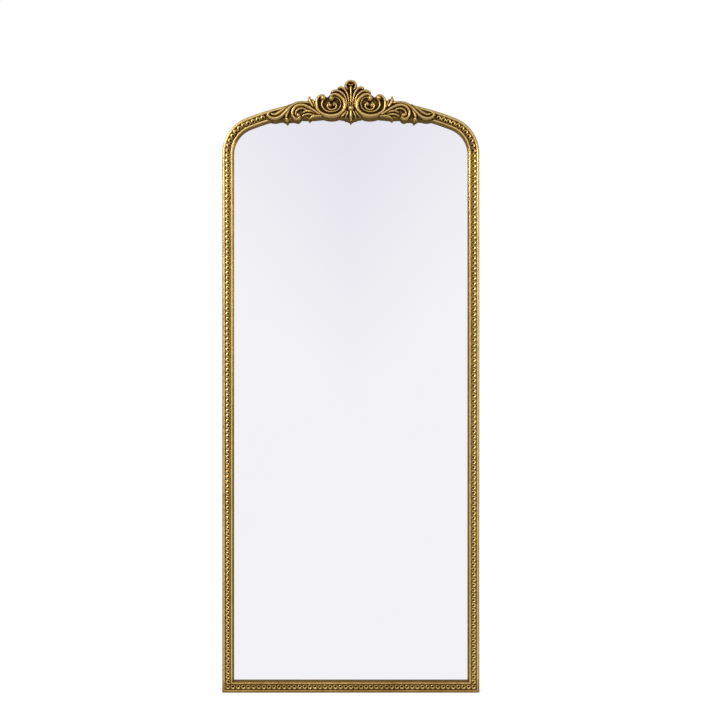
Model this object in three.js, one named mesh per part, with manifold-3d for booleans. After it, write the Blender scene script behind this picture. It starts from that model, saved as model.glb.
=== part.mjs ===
// A tall mirror with an arched top, a beaded moulding and a carved crest, which leans on a wall.
// Millimetres. X runs to the right, Z runs up and the glass faces -Y. The origin is on the floor,
// under the middle of the bottom rail. Depths are measured forward from the seat of the rear cover,
// which is at y = REAR_Y, and insets are measured inward from the outer edge of the frame.
import * as THREE from "three";
import { mergeVertices } from "three/addons/utils/BufferGeometryUtils.js";
import Module from "manifold-3d";

const wasm = await Module();
wasm.setup();

// ---- driving dimensions: the frame
const FRAME_WIDTH = 714;
const ARCH_TOP = 1650.7;
const ARCH_RADIUS = 796;
const SHOULDER_RADIUS = 105.2;
const REAR_Y = 12;
const JOINT_GAP = 0.3;
const SHOULDER_STEPS = 8;
const ARCH_STEPS = 12;

// ---- the moulding, as insets and depths
const RAIL_FACE = 31;
const REBATE_INSET = 23;
const LIP_BACK = 14;
const TORUS_RADIUS = 4;
const TORUS_DEPTH = 26;
const BED_DEPTH = 24.5;
const BED_START = 8.8;
const BED_END = 22.8;
const RIDGE_INSET = 25.4;
const RIDGE_DEPTH = 28.2;
const SLOPE_INSET = 27.4;
const SLOPE_FOOT = 20;
const RIDGE_LEAN = 0.4;
const RIDGE_EASE = 0.6;
const RIDGE_FALL = 2;
const SLOPE_TOE = 2;
const SLOPE_EASE = 1.5;

// ---- the bead course
const BEAD_PITCH = 14.2;
const BEAD_RADIUS = 6.5;
const BEAD_TOP_RADIUS = 4.4;
const BEAD_HEIGHT = 4;
const BEAD_PIT = 2.2;
const BEAD_SIDES = 5;
const BEAD_INSET = 15.8;
const STRIP_WIDTH = 13;
const STRIP_THICKNESS = 1;

// ---- the crest
const CREST_HALF_WIDTH = 237;
const CREST_BACK = 14;
const CREST_GROUND = 33;
const CREST_FOOT = 27;
const CREST_DROP = 3;
const RIDGE_SHOULDER = 0.85;
const RIDGE_ROUNDING = 0.8;
const BALL_WAIST = 0.7;
const BALL_SHOULDER = 0.75;
const BALL_ROUNDING = 0.2;
const BALL_SIDES = 8;

// ---- the glass and what backs it
const GLASS_THICKNESS = 4;
const CARD_THICKNESS = 3;
const BACKING_THICKNESS = 6;
const COVER_THICKNESS = 3;
const GLASS_INSET = 25.5;
const COVER_INSET = 5;
const BLOCK_LENGTH = 60;
const BLOCK_SPREAD = 180;

// ---- fasteners and fittings
const DOWEL_RADIUS = 3;
const DOWEL_SIDES = 6;
const DOWEL_LENGTH = 40;
const MITRE_DOWEL_LENGTH = 20;
const DOWEL_INSETS = [7, 16];
const DOWEL_DEPTH = 12;
const SCREW_INSET = 12;
const SCREW_SIDES = 6;
const COVER_SCREW_HEIGHTS = [80, 400, 720, 1040, 1440];
const ARCH_SCREW_ANGLE = 0.2;
const CREST_SCREW_SPREAD = 97;
const CREST_SCREW_INSET = 14;
const HANGER_INSET = 15;
const HANGER_HEIGHT = 1300;
const STRAP_WIDTH = 13;
const STRAP_LENGTH = 46;
const STRAP_THICKNESS = 1.2;
const RING_WIRE_RADIUS = 1.3;
const RING_WIDTH = 23;
const RING_DROP = 18;
const RING_CORNER = 2.9;
const RING_EASE = 0.6;
const RING_BOW_RISE = 4.2;
const RING_BOW_SHARE = 0.72;
const BUMPER_RADIUS = 8;
const BUMPER_HEIGHT = 5;
const BUMPER_SHOULDER = 0.6;
const BUMPER_TOP = 0.8;
const UPPER_BUMPER_SPREAD = 150;
const LOWER_BUMPER_HEIGHT = 30;

// ---- derived places
const HALF_WIDTH = FRAME_WIDTH / 2;
const SHOULDER_X = HALF_WIDTH - SHOULDER_RADIUS;
const ARCH_Z = ARCH_TOP - ARCH_RADIUS;
const SHOULDER_Z = ARCH_Z + Math.sqrt((ARCH_RADIUS - SHOULDER_RADIUS) ** 2 - SHOULDER_X ** 2);
const ARCH_HALF_ANGLE = Math.atan2(SHOULDER_X, SHOULDER_Z - ARCH_Z);
const GLASS_FRONT = LIP_BACK - JOINT_GAP;
const GLASS_BACK = GLASS_FRONT - GLASS_THICKNESS;
const CARD_BACK = GLASS_BACK - JOINT_GAP - CARD_THICKNESS;
const BACKING_BACK = CARD_BACK - JOINT_GAP - BACKING_THICKNESS;
const COVER_REAR = -JOINT_GAP - COVER_THICKNESS;

// ---- materials
function finish(color, roughness, metalness) {
  return new THREE.MeshStandardMaterial({ color, roughness, metalness });
}
const giltMoulding = () => finish(0xa88a40, 0.45, 0.7);
const giltBeads = () => finish(0xb8963e, 0.42, 0.7);
const giltCrest = () => finish(0xb08f40, 0.4, 0.7);
const silveredGlass = () => finish(0xe8e8f0, 0.03, 1);
const blackBoard = () => finish(0x2b2a28, 0.85, 0);
const rawBoard = () => finish(0x9a7a55, 0.9, 0);
const brownCard = () => finish(0xb08a5c, 0.95, 0);
const beech = () => finish(0xc9a878, 0.7, 0);
const zincSteel = () => finish(0xb4b4b0, 0.35, 1);
const blackRubber = () => finish(0x1c1c1c, 0.9, 0);

// ---- solids: joining, cutting and facing
function toSolid(geometry) {
  const bare = geometry.clone();
  bare.deleteAttribute("normal");
  bare.deleteAttribute("uv");
  const merged = mergeVertices(bare, 1e-4);
  const vertProperties = new Float32Array(merged.attributes.position.array);
  const triVerts = new Uint32Array(merged.index.array);
  return new wasm.Manifold(new wasm.Mesh({ numProp: 3, vertProperties, triVerts }));
}

function toGeometry(solid) {
  const { numProp, vertProperties, triVerts } = solid.getMesh();
  const geometry = new THREE.BufferGeometry();
  geometry.setAttribute("position", new THREE.BufferAttribute(vertProperties, numProp));
  geometry.setIndex(new THREE.BufferAttribute(triVerts, 1));
  return geometry;
}

function join(geometries) {
  return toGeometry(geometries.map(toSolid).reduce((whole, next) => whole.add(next)));
}

function cut(geometry, cutters) {
  return toGeometry(cutters.map(toSolid).reduce((whole, next) => whole.subtract(next), toSolid(geometry)));
}

function meshVolume(positions, index) {
  const [a, b, c] = [new THREE.Vector3(), new THREE.Vector3(), new THREE.Vector3()];
  let sixfold = 0;
  for (let i = 0; i < index.length; i += 3) {
    a.fromArray(positions, 3 * index[i]);
    b.fromArray(positions, 3 * index[i + 1]);
    c.fromArray(positions, 3 * index[i + 2]);
    sixfold += a.dot(b.cross(c));
  }
  return sixfold / 6;
}

// Skins a row of equal rings of points. An open row is capped by its flat end rings.
function skin(rings, closed = false) {
  const size = rings[0].length;
  const positions = rings.flat().flatMap((point) => [point.x, point.y, point.z]);
  const index = [];
  const spans = closed ? rings.length : rings.length - 1;
  for (let row = 0; row < spans; row++) {
    const next = (row + 1) % rings.length;
    for (let i = 0; i < size; i++) {
      const j = (i + 1) % size;
      const [p, q, r, s] = [row * size + i, row * size + j, next * size + j, next * size + i];
      index.push(p, q, r, p, r, s);
    }
  }
  if (!closed) {
    const last = (rings.length - 1) * size;
    for (const [a, b, c] of capFaces(rings[0])) {
      index.push(a, c, b, last + a, last + b, last + c);
    }
  }
  if (meshVolume(positions, index) < 0) {
    index.reverse();
  }
  const geometry = new THREE.BufferGeometry();
  geometry.setAttribute("position", new THREE.Float32BufferAttribute(positions, 3));
  geometry.setIndex(index);
  return geometry;
}

// Triangles of a flat ring, run the same way round as its points.
function capFaces(ring) {
  const along = ring[1].clone().sub(ring[0]).normalize();
  const normal = new THREE.Vector3();
  ring.forEach((point, i) => {
    const next = ring[(i + 1) % ring.length];
    normal.add(point.clone().sub(ring[0]).cross(next.clone().sub(ring[0])));
  });
  const across = normal.normalize().cross(along);
  const flat = ring.map((point) => new THREE.Vector2(point.dot(along), point.dot(across)));
  return THREE.ShapeUtils.triangulateShape(flat, []);
}

// ---- the frame's outline
// A station is a point of the outer edge and the direction that an inset runs in from it.
function station(x, z, inwardX, inwardZ) {
  return { x, z, inwardX, inwardZ };
}

function pointAt({ x, z, inwardX, inwardZ }, inset, depth) {
  return new THREE.Vector3(x + inwardX * inset, REAR_Y - depth, z + inwardZ * inset);
}

// Stations round an arc, with the angle measured from +X towards +Z.
function arcStations(centreX, centreZ, radius, from, to, steps) {
  return Array.from({ length: steps + 1 }, (_, i) => {
    const angle = THREE.MathUtils.lerp(from, to, i / steps);
    const [cos, sin] = [Math.cos(angle), Math.sin(angle)];
    return station(centreX + radius * cos, centreZ + radius * sin, -cos, -sin);
  });
}

// The same stations on the right side (1) or mirrored to the left (-1).
function toSide(stations, side) {
  return stations.map((s) => station(side * s.x, s.z, side * s.inwardX, s.inwardZ));
}

// Each rail runs from joint to joint and stops half a gap short of it. All are on the right side.
function railRuns() {
  const half = JOINT_GAP / 2;
  const slip = JOINT_GAP / Math.SQRT2;
  const shoulderEnd = Math.PI / 2 - ARCH_HALF_ANGLE;
  const shoulderGap = half / (SHOULDER_RADIUS - RAIL_FACE);
  const archGap = half / (ARCH_RADIUS - RAIL_FACE);
  return {
    bottom: [station(-HALF_WIDTH + slip, 0, 1, 1), station(HALF_WIDTH - slip, 0, -1, 1)],
    stile: [station(HALF_WIDTH, slip, -1, 1), station(HALF_WIDTH, SHOULDER_Z - half, -1, 0)],
    shoulder: arcStations(
      SHOULDER_X, SHOULDER_Z, SHOULDER_RADIUS, shoulderGap, shoulderEnd - shoulderGap, SHOULDER_STEPS,
    ),
    arch: arcStations(
      0, ARCH_Z, ARCH_RADIUS, shoulderEnd + archGap, Math.PI - shoulderEnd - archGap, ARCH_STEPS,
    ),
  };
}

// The flat outline of the frame, drawn in by an inset, for the glass and the boards. Its arcs have
// the rails' own steps, so that it keeps its gap to them all the way round.
function outline(inset) {
  const shoulderEnd = Math.PI / 2 - ARCH_HALF_ANGLE;
  const right = [
    ...arcStations(SHOULDER_X, SHOULDER_Z, SHOULDER_RADIUS, 0, shoulderEnd, SHOULDER_STEPS),
    ...arcStations(0, ARCH_Z, ARCH_RADIUS, shoulderEnd, Math.PI / 2, ARCH_STEPS / 2).slice(1),
  ];
  const half = [station(HALF_WIDTH, 0, -1, 1), ...right];
  const round = [...half, ...toSide(half.slice(0, -1), -1).reverse()];
  return new THREE.Shape(
    round.map((s) => new THREE.Vector2(s.x + s.inwardX * inset, s.z + s.inwardZ * inset)),
  );
}

// A piece turned about the Y axis, whose profile gives its radius and how far forward it reaches.
function turned(profile, sides) {
  return new THREE.LatheGeometry(profile, sides).rotateX(Math.PI);
}

// Extrudes a shape drawn in X and Z forward between two depths.
function panel(shape, back, front) {
  return new THREE.ExtrudeGeometry(shape, { depth: front - back, bevelEnabled: false })
    .rotateX(Math.PI / 2)
    .translate(0, REAR_Y - back, 0);
}

// ---- the moulding
// Behind its outer edge it stands round the rear cover as a low fence, flush with the cover.
function railSection() {
  const fence = COVER_INSET - JOINT_GAP;
  const shape = new THREE.Shape()
    .moveTo(fence, 0)
    .lineTo(fence, COVER_REAR)
    .lineTo(0, COVER_REAR)
    .lineTo(0, TORUS_DEPTH)
    .absarc(TORUS_RADIUS, TORUS_DEPTH, TORUS_RADIUS, Math.PI, 0, true)
    .lineTo(BED_START, BED_DEPTH)
    .lineTo(BED_END, BED_DEPTH)
    .quadraticCurveTo(BED_END + RIDGE_LEAN, RIDGE_DEPTH, RIDGE_INSET, RIDGE_DEPTH)
    .quadraticCurveTo(SLOPE_INSET, RIDGE_DEPTH, SLOPE_INSET + RIDGE_EASE, RIDGE_DEPTH - RIDGE_FALL)
    .quadraticCurveTo(RAIL_FACE - SLOPE_TOE, SLOPE_FOOT + SLOPE_EASE, RAIL_FACE, SLOPE_FOOT)
    .lineTo(RAIL_FACE, LIP_BACK)
    .lineTo(REBATE_INSET, LIP_BACK)
    .lineTo(REBATE_INSET, 0);
  return shape.getPoints(3);
}

function rail(stations, cutters) {
  const section = railSection();
  const blank = skin(stations.map((s) => section.map((p) => pointAt(s, p.x, p.y))));
  return cutters.length > 0 ? cut(blank, cutters) : blank;
}

// ---- the bead course
// One drilled bead, standing on the strip and facing forward.
function bead(point) {
  const profile = [
    new THREE.Vector2(0, 0),
    new THREE.Vector2(BEAD_RADIUS, 0),
    new THREE.Vector2(BEAD_TOP_RADIUS, BEAD_HEIGHT),
    new THREE.Vector2(0, BEAD_PIT),
  ];
  return turned(profile, BEAD_SIDES).translate(point.x, point.y, point.z);
}

// A thin strip along the bed with beads at an even pitch, the first and last half a pitch in.
function beadCourse(stations) {
  const back = BED_DEPTH + JOINT_GAP;
  const front = back + STRIP_THICKNESS;
  const inner = BEAD_INSET + STRIP_WIDTH / 2;
  const outer = BEAD_INSET - STRIP_WIDTH / 2;
  const corners = [[outer, back], [outer, front], [inner, front], [inner, back]];
  const strip = skin(stations.map((s) => corners.map(([inset, depth]) => pointAt(s, inset, depth))));
  const route = new THREE.CurvePath();
  const centres = stations.map((s) => pointAt(s, BEAD_INSET, front));
  centres.slice(1).forEach((end, i) => route.add(new THREE.LineCurve3(centres[i], end)));
  const count = Math.round(route.getLength() / BEAD_PITCH);
  const beads = Array.from({ length: count }, (_, i) => bead(route.getPointAt((i + 0.5) / count)));
  return join([strip, ...beads]);
}

// The runs of the bead course. The bottom one holds the two corner beads, the stiles' stand on it,
// and on the arch the course stops where the crest begins.
function beadRuns() {
  const { shoulder } = railRuns();
  const shoulderEnd = Math.PI / 2 - ARCH_HALF_ANGLE;
  const cornerX = HALF_WIDTH - BEAD_INSET + BEAD_PITCH / 2;
  const bottom = [station(-cornerX, 0, 0, 1), station(cornerX, 0, 0, 1)];
  const stileFoot = BEAD_INSET + BEAD_PITCH / 2;
  const stile = [station(HALF_WIDTH, stileFoot, -1, 0), station(HALF_WIDTH, SHOULDER_Z - JOINT_GAP / 2, -1, 0)];
  const crestEdge = Math.acos((CREST_HALF_WIDTH + JOINT_GAP) / (ARCH_RADIUS - BEAD_INSET));
  const archPart = arcStations(0, ARCH_Z, ARCH_RADIUS, shoulderEnd, crestEdge, 4);
  return { bottom, stile, shoulder: [...shoulder.slice(0, -1), ...archPart] };
}

// ---- the crest: a ground plate, with ridges, balls and leaves raised on it
// Routes run in X, measured from the middle, and Z, measured from the top of the arch. Each is
// drawn on the right side and mirrored. Widths and crowns are spread evenly from start to end.
const C_SCROLL = {
  route: [
    [57, -1], [54, 7], [46.5, 11.5], [37, 10], [27, 3], [19, -7], [16.5, -19.5], [20, -31.5],
    [29.5, -41.5], [43, -47], [58, -48], [73, -45], [85, -38.5], [92.5, -29.5], [95, -18.5],
    [94.5, -7], [90, 2.5], [83, 7.5], [76, 7.5],
  ],
  widths: [8, 14.5, 13, 11, 9],
  crowns: [42, 43, 43.5, 43, 43],
  steps: 22,
};
const C_SCROLL_INNER = {
  route: [
    [48, 3], [39, 2], [32, -3.5], [28.3, -11], [28.3, -19.5], [31.5, -27], [37.5, -33],
    [46, -36.3], [56, -37.3], [66, -35.5], [74.5, -29.5], [79.5, -21.5], [80, -13], [77.5, -7],
  ],
  widths: [4.5, 5.5, 8.5],
  crowns: [40, 41.5, 42],
  steps: 13,
};
const VOLUTE = {
  route: [
    [59.5, -12.5], [64, -18], [64, -25], [59, -30.5], [51.5, -32], [44.5, -29.5], [40.5, -24],
    [41, -17.5], [45.5, -13],
  ],
  widths: [8, 7.5, 8],
  crowns: [43, 43, 43],
  steps: 9,
};
const INNER_PLUME = {
  route: [[5, -21], [5.8, -9], [7.5, 2.5], [10, 12], [14.5, 20.5], [20.5, 27], [27, 30], [32.5, 28.5]],
  widths: [4, 7.5, 9],
  crowns: [41, 44, 43],
  steps: 7,
};
const OUTER_PLUME = {
  route: [[10.5, -22], [11.5, -11], [14, -0.5], [18.5, 8.5], [26, 16], [35, 20.5], [44, 21.5], [51.5, 17.5]],
  widths: [4, 8.5, 9],
  crowns: [40, 42.5, 41],
  steps: 7,
};
const LOBE_RIM = {
  route: [[9.5, 25.5], [13, 31], [13.5, 38], [10, 43.5], [4.5, 46.3], [-1, 46.8]],
  widths: [6, 9, 9],
  crowns: [41, 45, 46],
  steps: 6,
};
const LOBE_LIP = {
  route: [[7, 39.5], [3.5, 37], [-1, 36.5]],
  widths: [4, 6, 6],
  crowns: [42, 44, 44],
  steps: 2,
};
const STEM = {
  route: [[0, -18], [0, 6], [0, 33]],
  widths: [5, 7.5, 9],
  crowns: [43, 42, 39],
  steps: 2,
};
const PENDANT_TONGUE = {
  route: [[0, -36], [0, -50], [0, -62]],
  widths: [10, 13, 4],
  crowns: [43, 43, 37],
  steps: 4,
};
const PENDANT_RAYS = [
  {
    route: [[7.5, -36], [11, -45], [14.5, -54]],
    widths: [5, 8, 4],
    crowns: [41, 41, 37],
    steps: 2,
  },
  {
    route: [[12.5, -35], [18.5, -43], [26.5, -50.5]],
    widths: [5, 8.5, 4],
    crowns: [40, 40, 37],
    steps: 2,
  },
];
const S_SCROLL = {
  route: [
    [87, -43], [103, -33], [118, -24], [132.5, -18.5], [145.5, -19], [155, -24.5], [161, -33],
    [162.5, -41.5], [160, -50], [153.5, -55.5], [146, -56], [141, -51.5],
  ],
  widths: [9, 11.5, 8],
  crowns: [43, 43.5, 42],
  steps: 13,
};
const S_SCROLL_INNER = {
  route: [[123, -31], [135.5, -27.5], [146, -30.5], [152, -37.5], [152.5, -45.5]],
  widths: [6, 8, 6],
  crowns: [39, 42, 40],
  steps: 5,
};
const END_LEAF = {
  route: [
    [108, -12], [126, -10.5], [145, -12.5], [159, -18], [171, -27], [181, -37.5], [191, -47],
    [203, -53.5], [215, -55], [225, -51.5], [230, -44.5], [226, -39],
  ],
  widths: [8, 14, 9],
  crowns: [39, 42.5, 41],
  steps: 12,
};
const END_LEAF_RIB = {
  route: [[168, -17], [180, -25], [190, -33], [201, -40.5], [211, -44.5], [219, -43]],
  widths: [6, 10, 7],
  crowns: [37, 40, 39],
  steps: 5,
};
const DROP_LEAF = {
  route: [[171, -34], [176, -42], [179, -50], [179, -57], [176.5, -64]],
  widths: [6, 10, 4],
  crowns: [39, 41.5, 37],
  steps: 4,
};
const LEAF_TIPS = [
  {
    route: [[114.5, 5], [114, -4], [110.5, -13], [105, -21]],
    widths: [4, 12, 8],
    crowns: [37, 42, 41],
    steps: 3,
  },
  {
    route: [[106, -2], [104, -9], [101, -17], [97.5, -26]],
    widths: [3, 8, 5],
    crowns: [37, 40, 39],
    steps: 3,
  },
];
const SPRAY_LEAVES = [
  {
    route: [[98, -41], [111, -35.5], [122.5, -34.5], [132, -38.5]],
    widths: [6, 9.5, 5],
    crowns: [38, 41, 39],
    steps: 4,
  },
  {
    route: [[98, -46], [112, -43.5], [124, -44], [134, -48.5]],
    widths: [5, 8, 5],
    crowns: [38, 40.5, 38],
    steps: 3,
  },
  {
    route: [[82, -47.5], [97, -48], [108, -50.5], [116, -57]],
    widths: [8, 9.5, 3],
    crowns: [39, 41, 36],
    steps: 4,
  },
];
const BALLS = [
  { centre: [53.5, -0.5], radius: 8.5, crown: 46 },
  { centre: [77, 1.5], radius: 9, crown: 46 },
  { centre: [46.5, -17], radius: 5.5, crown: 45 },
  { centre: [58, -19.5], radius: 6.5, crown: 46 },
  { centre: [145.5, -46.5], radius: 7, crown: 44 },
  { centre: [178, -57.5], radius: 6, crown: 42 },
];
const BOSS = { centre: [0, -28], radius: 9.5, crown: 48 };

// Half of the ground plate's outline, from the top down the right side to the pendant.
const GROUND_OUTLINE = [
  [0, 50], [9, 46.5], [14.5, 38], [12.5, 30], [22, 29], [31, 28], [36, 22], [50, 20], [57, 12],
  [65, 4], [76, 9], [88, 7], [97, -3], [103, -12], [122, -11], [146, -13], [163, -18], [176, -25],
  [190, -33], [213, -38], [232, -42], [235.5, -50], [232, -58], [214, -61], [190, -57.5],
  [181, -62], [168, -59], [152, -58.5], [136, -53], [117, -54], [96, -51], [82, -50.5], [58, -53],
  [32, -50.5], [16, -54], [0, -61],
];

// A value that runs evenly through a list of values, from the first at 0 to the last at 1.
function along(values, u) {
  const span = Math.min(Math.floor(u * (values.length - 1)), values.length - 2);
  return THREE.MathUtils.lerp(values[span], values[span + 1], u * (values.length - 1) - span);
}

function crestPoint(x, z, depth) {
  return new THREE.Vector3(x, REAR_Y - depth, ARCH_TOP - CREST_DROP + z);
}

// A rounded ridge carried along its route, from the foot inside the ground up to its crown.
function ridge({ route, widths, crowns, steps }, side) {
  const curve = new THREE.SplineCurve(route.map(([x, z]) => new THREE.Vector2(x, z)));
  const rings = Array.from({ length: steps + 1 }, (_, i) => {
    const u = i / steps;
    const centre = curve.getPointAt(u);
    const tangent = curve.getTangentAt(u);
    const half = along(widths, u) / 2;
    const crown = along(crowns, u);
    const shoulder = [RIDGE_SHOULDER, crown - half * RIDGE_ROUNDING];
    const section = [[-1, CREST_FOOT], [-shoulder[0], shoulder[1]], [0, crown], shoulder, [1, CREST_FOOT]];
    return section.map(([across, depth]) =>
      crestPoint(side * (centre.x - tangent.y * across * half), centre.y + tangent.x * across * half, depth),
    );
  });
  return skin(rings);
}

// A ball whose front reaches the crown, on a short stem that runs back into the ground.
function ball({ centre: [x, z], radius, crown }, side) {
  const profile = [
    new THREE.Vector2(0, 0),
    new THREE.Vector2(radius, 0),
    new THREE.Vector2(radius, crown - CREST_FOOT - radius * BALL_WAIST),
    new THREE.Vector2(radius * BALL_SHOULDER, crown - CREST_FOOT - radius * BALL_ROUNDING),
    new THREE.Vector2(0, crown - CREST_FOOT),
  ];
  const foot = crestPoint(side * x, z, CREST_FOOT);
  return turned(profile, BALL_SIDES).translate(foot.x, foot.y, foot.z);
}

function groundPlate() {
  const right = GROUND_OUTLINE.map(([x, z]) => new THREE.Vector2(x, ARCH_TOP - CREST_DROP + z));
  const left = right.slice(1, -1).reverse().map((p) => new THREE.Vector2(-p.x, p.y));
  return panel(new THREE.Shape([...right, ...left]), CREST_BACK, CREST_GROUND);
}

// The room that the arch rail takes up behind the crest, which sits over it like a saddle.
function archSaddle() {
  const stations = railRuns().arch;
  const front = TORUS_DEPTH + TORUS_RADIUS + JOINT_GAP;
  const inner = RAIL_FACE + JOINT_GAP;
  const corners = [[-JOINT_GAP, 0], [-JOINT_GAP, front], [inner, front], [inner, 0]];
  return skin(stations.map((s) => corners.map(([inset, depth]) => pointAt(s, inset, depth))));
}

function crest(screwHoles) {
  const paired = [
    C_SCROLL, C_SCROLL_INNER, VOLUTE, INNER_PLUME, OUTER_PLUME, LOBE_RIM, LOBE_LIP, ...PENDANT_RAYS,
    S_SCROLL, S_SCROLL_INNER, END_LEAF, END_LEAF_RIB, DROP_LEAF, ...LEAF_TIPS, ...SPRAY_LEAVES,
  ];
  const ridges = [-1, 1].flatMap((side) => paired.map((stroke) => ridge(stroke, side)));
  const balls = [-1, 1].flatMap((side) => BALLS.map((spec) => ball(spec, side)));
  const middle = [ridge(STEM, 1), ridge(PENDANT_TONGUE, 1), ball(BOSS, 1)];
  return cut(join([groundPlate(), ...ridges, ...balls, ...middle]), [archSaddle(), ...screwHoles]);
}

// ---- screws and dowels
const COVER_SCREW = { length: 16, shank: 1.6, head: 3.4, headHeight: 1.8, headDepth: COVER_REAR };
const CREST_SCREW = { length: 39, shank: 2, head: 4, headHeight: 2.5, headDepth: JOINT_GAP };
const STRAP_SCREW = { length: 20, shank: 1.6, head: 3.2, headHeight: 1.6 };
STRAP_SCREW.headDepth = COVER_REAR - STRAP_THICKNESS - STRAP_SCREW.headHeight - 2 * JOINT_GAP;

// A screw lies on the Y axis, with its head at the rear and its point forward. A clearance
// fattens it all over, to make its hole.
function screw({ length, shank, head, headHeight, headDepth }, x, z, clearance = 0) {
  const r = shank + clearance;
  const profile = [
    new THREE.Vector2(0, -clearance),
    new THREE.Vector2(head + clearance, -clearance),
    new THREE.Vector2(r, headHeight + clearance),
    new THREE.Vector2(r, length - shank + clearance),
    new THREE.Vector2(0, length + clearance),
  ];
  return turned(profile, SCREW_SIDES).translate(x, REAR_Y - headDepth, z);
}

// The points behind the rails at which each kind of screw goes in.
function coverScrewPoints() {
  const x = HALF_WIDTH - SCREW_INSET;
  const stiles = COVER_SCREW_HEIGHTS.flatMap((z) => [[-x, z], [x, z]]);
  const bottom = [[-BLOCK_SPREAD, SCREW_INSET], [BLOCK_SPREAD, SCREW_INSET]];
  const archR = ARCH_RADIUS - SCREW_INSET;
  const archX = archR * Math.sin(ARCH_SCREW_ANGLE);
  const archZ = ARCH_Z + archR * Math.cos(ARCH_SCREW_ANGLE);
  return [...stiles, ...bottom, [-archX, archZ], [archX, archZ]];
}

function crestScrewPoints() {
  const radius = ARCH_RADIUS - CREST_SCREW_INSET;
  const sideZ = ARCH_Z + Math.sqrt(radius ** 2 - CREST_SCREW_SPREAD ** 2);
  return [[-CREST_SCREW_SPREAD, sideZ], [0, ARCH_Z + radius], [CREST_SCREW_SPREAD, sideZ]];
}

// A dowel's centre, and the angle in the XZ plane of the line that it lies along.
function dowelPlaces() {
  const shoulderEnd = Math.PI / 2 - ARCH_HALF_ANGLE;
  const mitre = SCREW_INSET;
  const places = [
    { name: "mitre_dowel", x: HALF_WIDTH - mitre, z: mitre, angle: Math.PI / 4, length: MITRE_DOWEL_LENGTH },
  ];
  DOWEL_INSETS.forEach((inset, i) => {
    const row = ["outer", "inner"][i];
    const radius = SHOULDER_RADIUS - inset;
    places.push({
      name: `stile_dowel_${row}`,
      x: SHOULDER_X + radius,
      z: SHOULDER_Z,
      angle: Math.PI / 2,
      length: DOWEL_LENGTH,
    });
    places.push({
      name: `arch_dowel_${row}`,
      x: SHOULDER_X + radius * Math.cos(shoulderEnd),
      z: SHOULDER_Z + radius * Math.sin(shoulderEnd),
      angle: shoulderEnd + Math.PI / 2,
      length: DOWEL_LENGTH,
    });
  });
  return places;
}

function dowel({ x, z, angle, length }, side, clearance = 0) {
  const radius = DOWEL_RADIUS + clearance;
  return new THREE.CylinderGeometry(radius, radius, length + 2 * clearance, DOWEL_SIDES)
    .rotateZ(-Math.PI / 2)
    .rotateY(-(side > 0 ? angle : Math.PI - angle))
    .translate(side * x, REAR_Y - DOWEL_DEPTH, z);
}

// ---- the D-ring hangers
const BARREL_INNER = RING_WIRE_RADIUS + JOINT_GAP;
const BARREL_OUTER = BARREL_INNER + STRAP_THICKNESS;
const STRAP_REAR_Y = REAR_Y - COVER_REAR + JOINT_GAP;
const RING_AXIS_Y = STRAP_REAR_Y + BARREL_OUTER;
const STRAP_SCREW_DROPS = [26, 39];

function circle(radius, sides, toPoint) {
  return Array.from({ length: sides }, (_, i) => {
    const angle = (2 * Math.PI * i) / sides;
    return toPoint(radius * Math.cos(angle), radius * Math.sin(angle));
  });
}

// A steel strap folded round the ring's straight bar and running down the cover.
function hangerStrap(x) {
  const barrel = new THREE.Shape().absarc(0, 0, BARREL_OUTER, 0, 2 * Math.PI, false);
  barrel.holes.push(new THREE.Path().absarc(0, 0, BARREL_INNER, 0, 2 * Math.PI, true));
  const roll = new THREE.ExtrudeGeometry(barrel, { depth: STRAP_WIDTH, bevelEnabled: false, curveSegments: 10 })
    .rotateY(Math.PI / 2)
    .translate(x - STRAP_WIDTH / 2, RING_AXIS_Y, HANGER_HEIGHT);
  const tongue = new THREE.Shape()
    .moveTo(-STRAP_WIDTH / 2, 0)
    .lineTo(-STRAP_WIDTH / 2, STRAP_WIDTH / 2 - STRAP_LENGTH)
    .absarc(0, STRAP_WIDTH / 2 - STRAP_LENGTH, STRAP_WIDTH / 2, Math.PI, 2 * Math.PI, false)
    .lineTo(STRAP_WIDTH / 2, 0)
    .closePath();
  const plate = new THREE.ExtrudeGeometry(tongue, {
    depth: STRAP_THICKNESS, bevelEnabled: false, curveSegments: 4,
  })
    .rotateX(Math.PI / 2)
    .translate(x, STRAP_REAR_Y + STRAP_THICKNESS, HANGER_HEIGHT - BARREL_INNER);
  const holes = STRAP_SCREW_DROPS.map((drop) => screw(STRAP_SCREW, x, HANGER_HEIGHT - drop, JOINT_GAP));
  return cut(join([roll, plate]), holes);
}

// The ring hangs from its straight bar, drawn about the bar's own centre so that it turns there.
function hangerRing() {
  const bend = RING_WIDTH / 2 - RING_WIRE_RADIUS;
  const rightBow = [
    [bend - RING_CORNER, 0],
    [bend - RING_EASE, RING_EASE - RING_CORNER],
    [bend, -2 * RING_CORNER],
    [bend * RING_BOW_SHARE, RING_BOW_RISE - RING_DROP],
    [0, -RING_DROP],
  ];
  const leftBow = rightBow.slice(0, -1).reverse().map(([x, z]) => [-x, z]);
  const bow = new THREE.SplineCurve([...rightBow, ...leftBow].map(([x, z]) => new THREE.Vector2(x, z)));
  const path = [new THREE.Vector2(RING_CORNER - bend, 0), new THREE.Vector2(bend - RING_CORNER, 0)];
  path.push(...bow.getSpacedPoints(18).slice(1, -1));
  const rings = path.map((centre, i) => {
    const before = path[(i + path.length - 1) % path.length];
    const after = path[(i + 1) % path.length];
    const across = after.clone().sub(before).normalize().rotateAround(new THREE.Vector2(), Math.PI / 2);
    return circle(RING_WIRE_RADIUS, 6, (u, v) =>
      new THREE.Vector3(centre.x + across.x * u, v, centre.y + across.y * u),
    );
  });
  return skin(rings, true);
}

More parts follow.
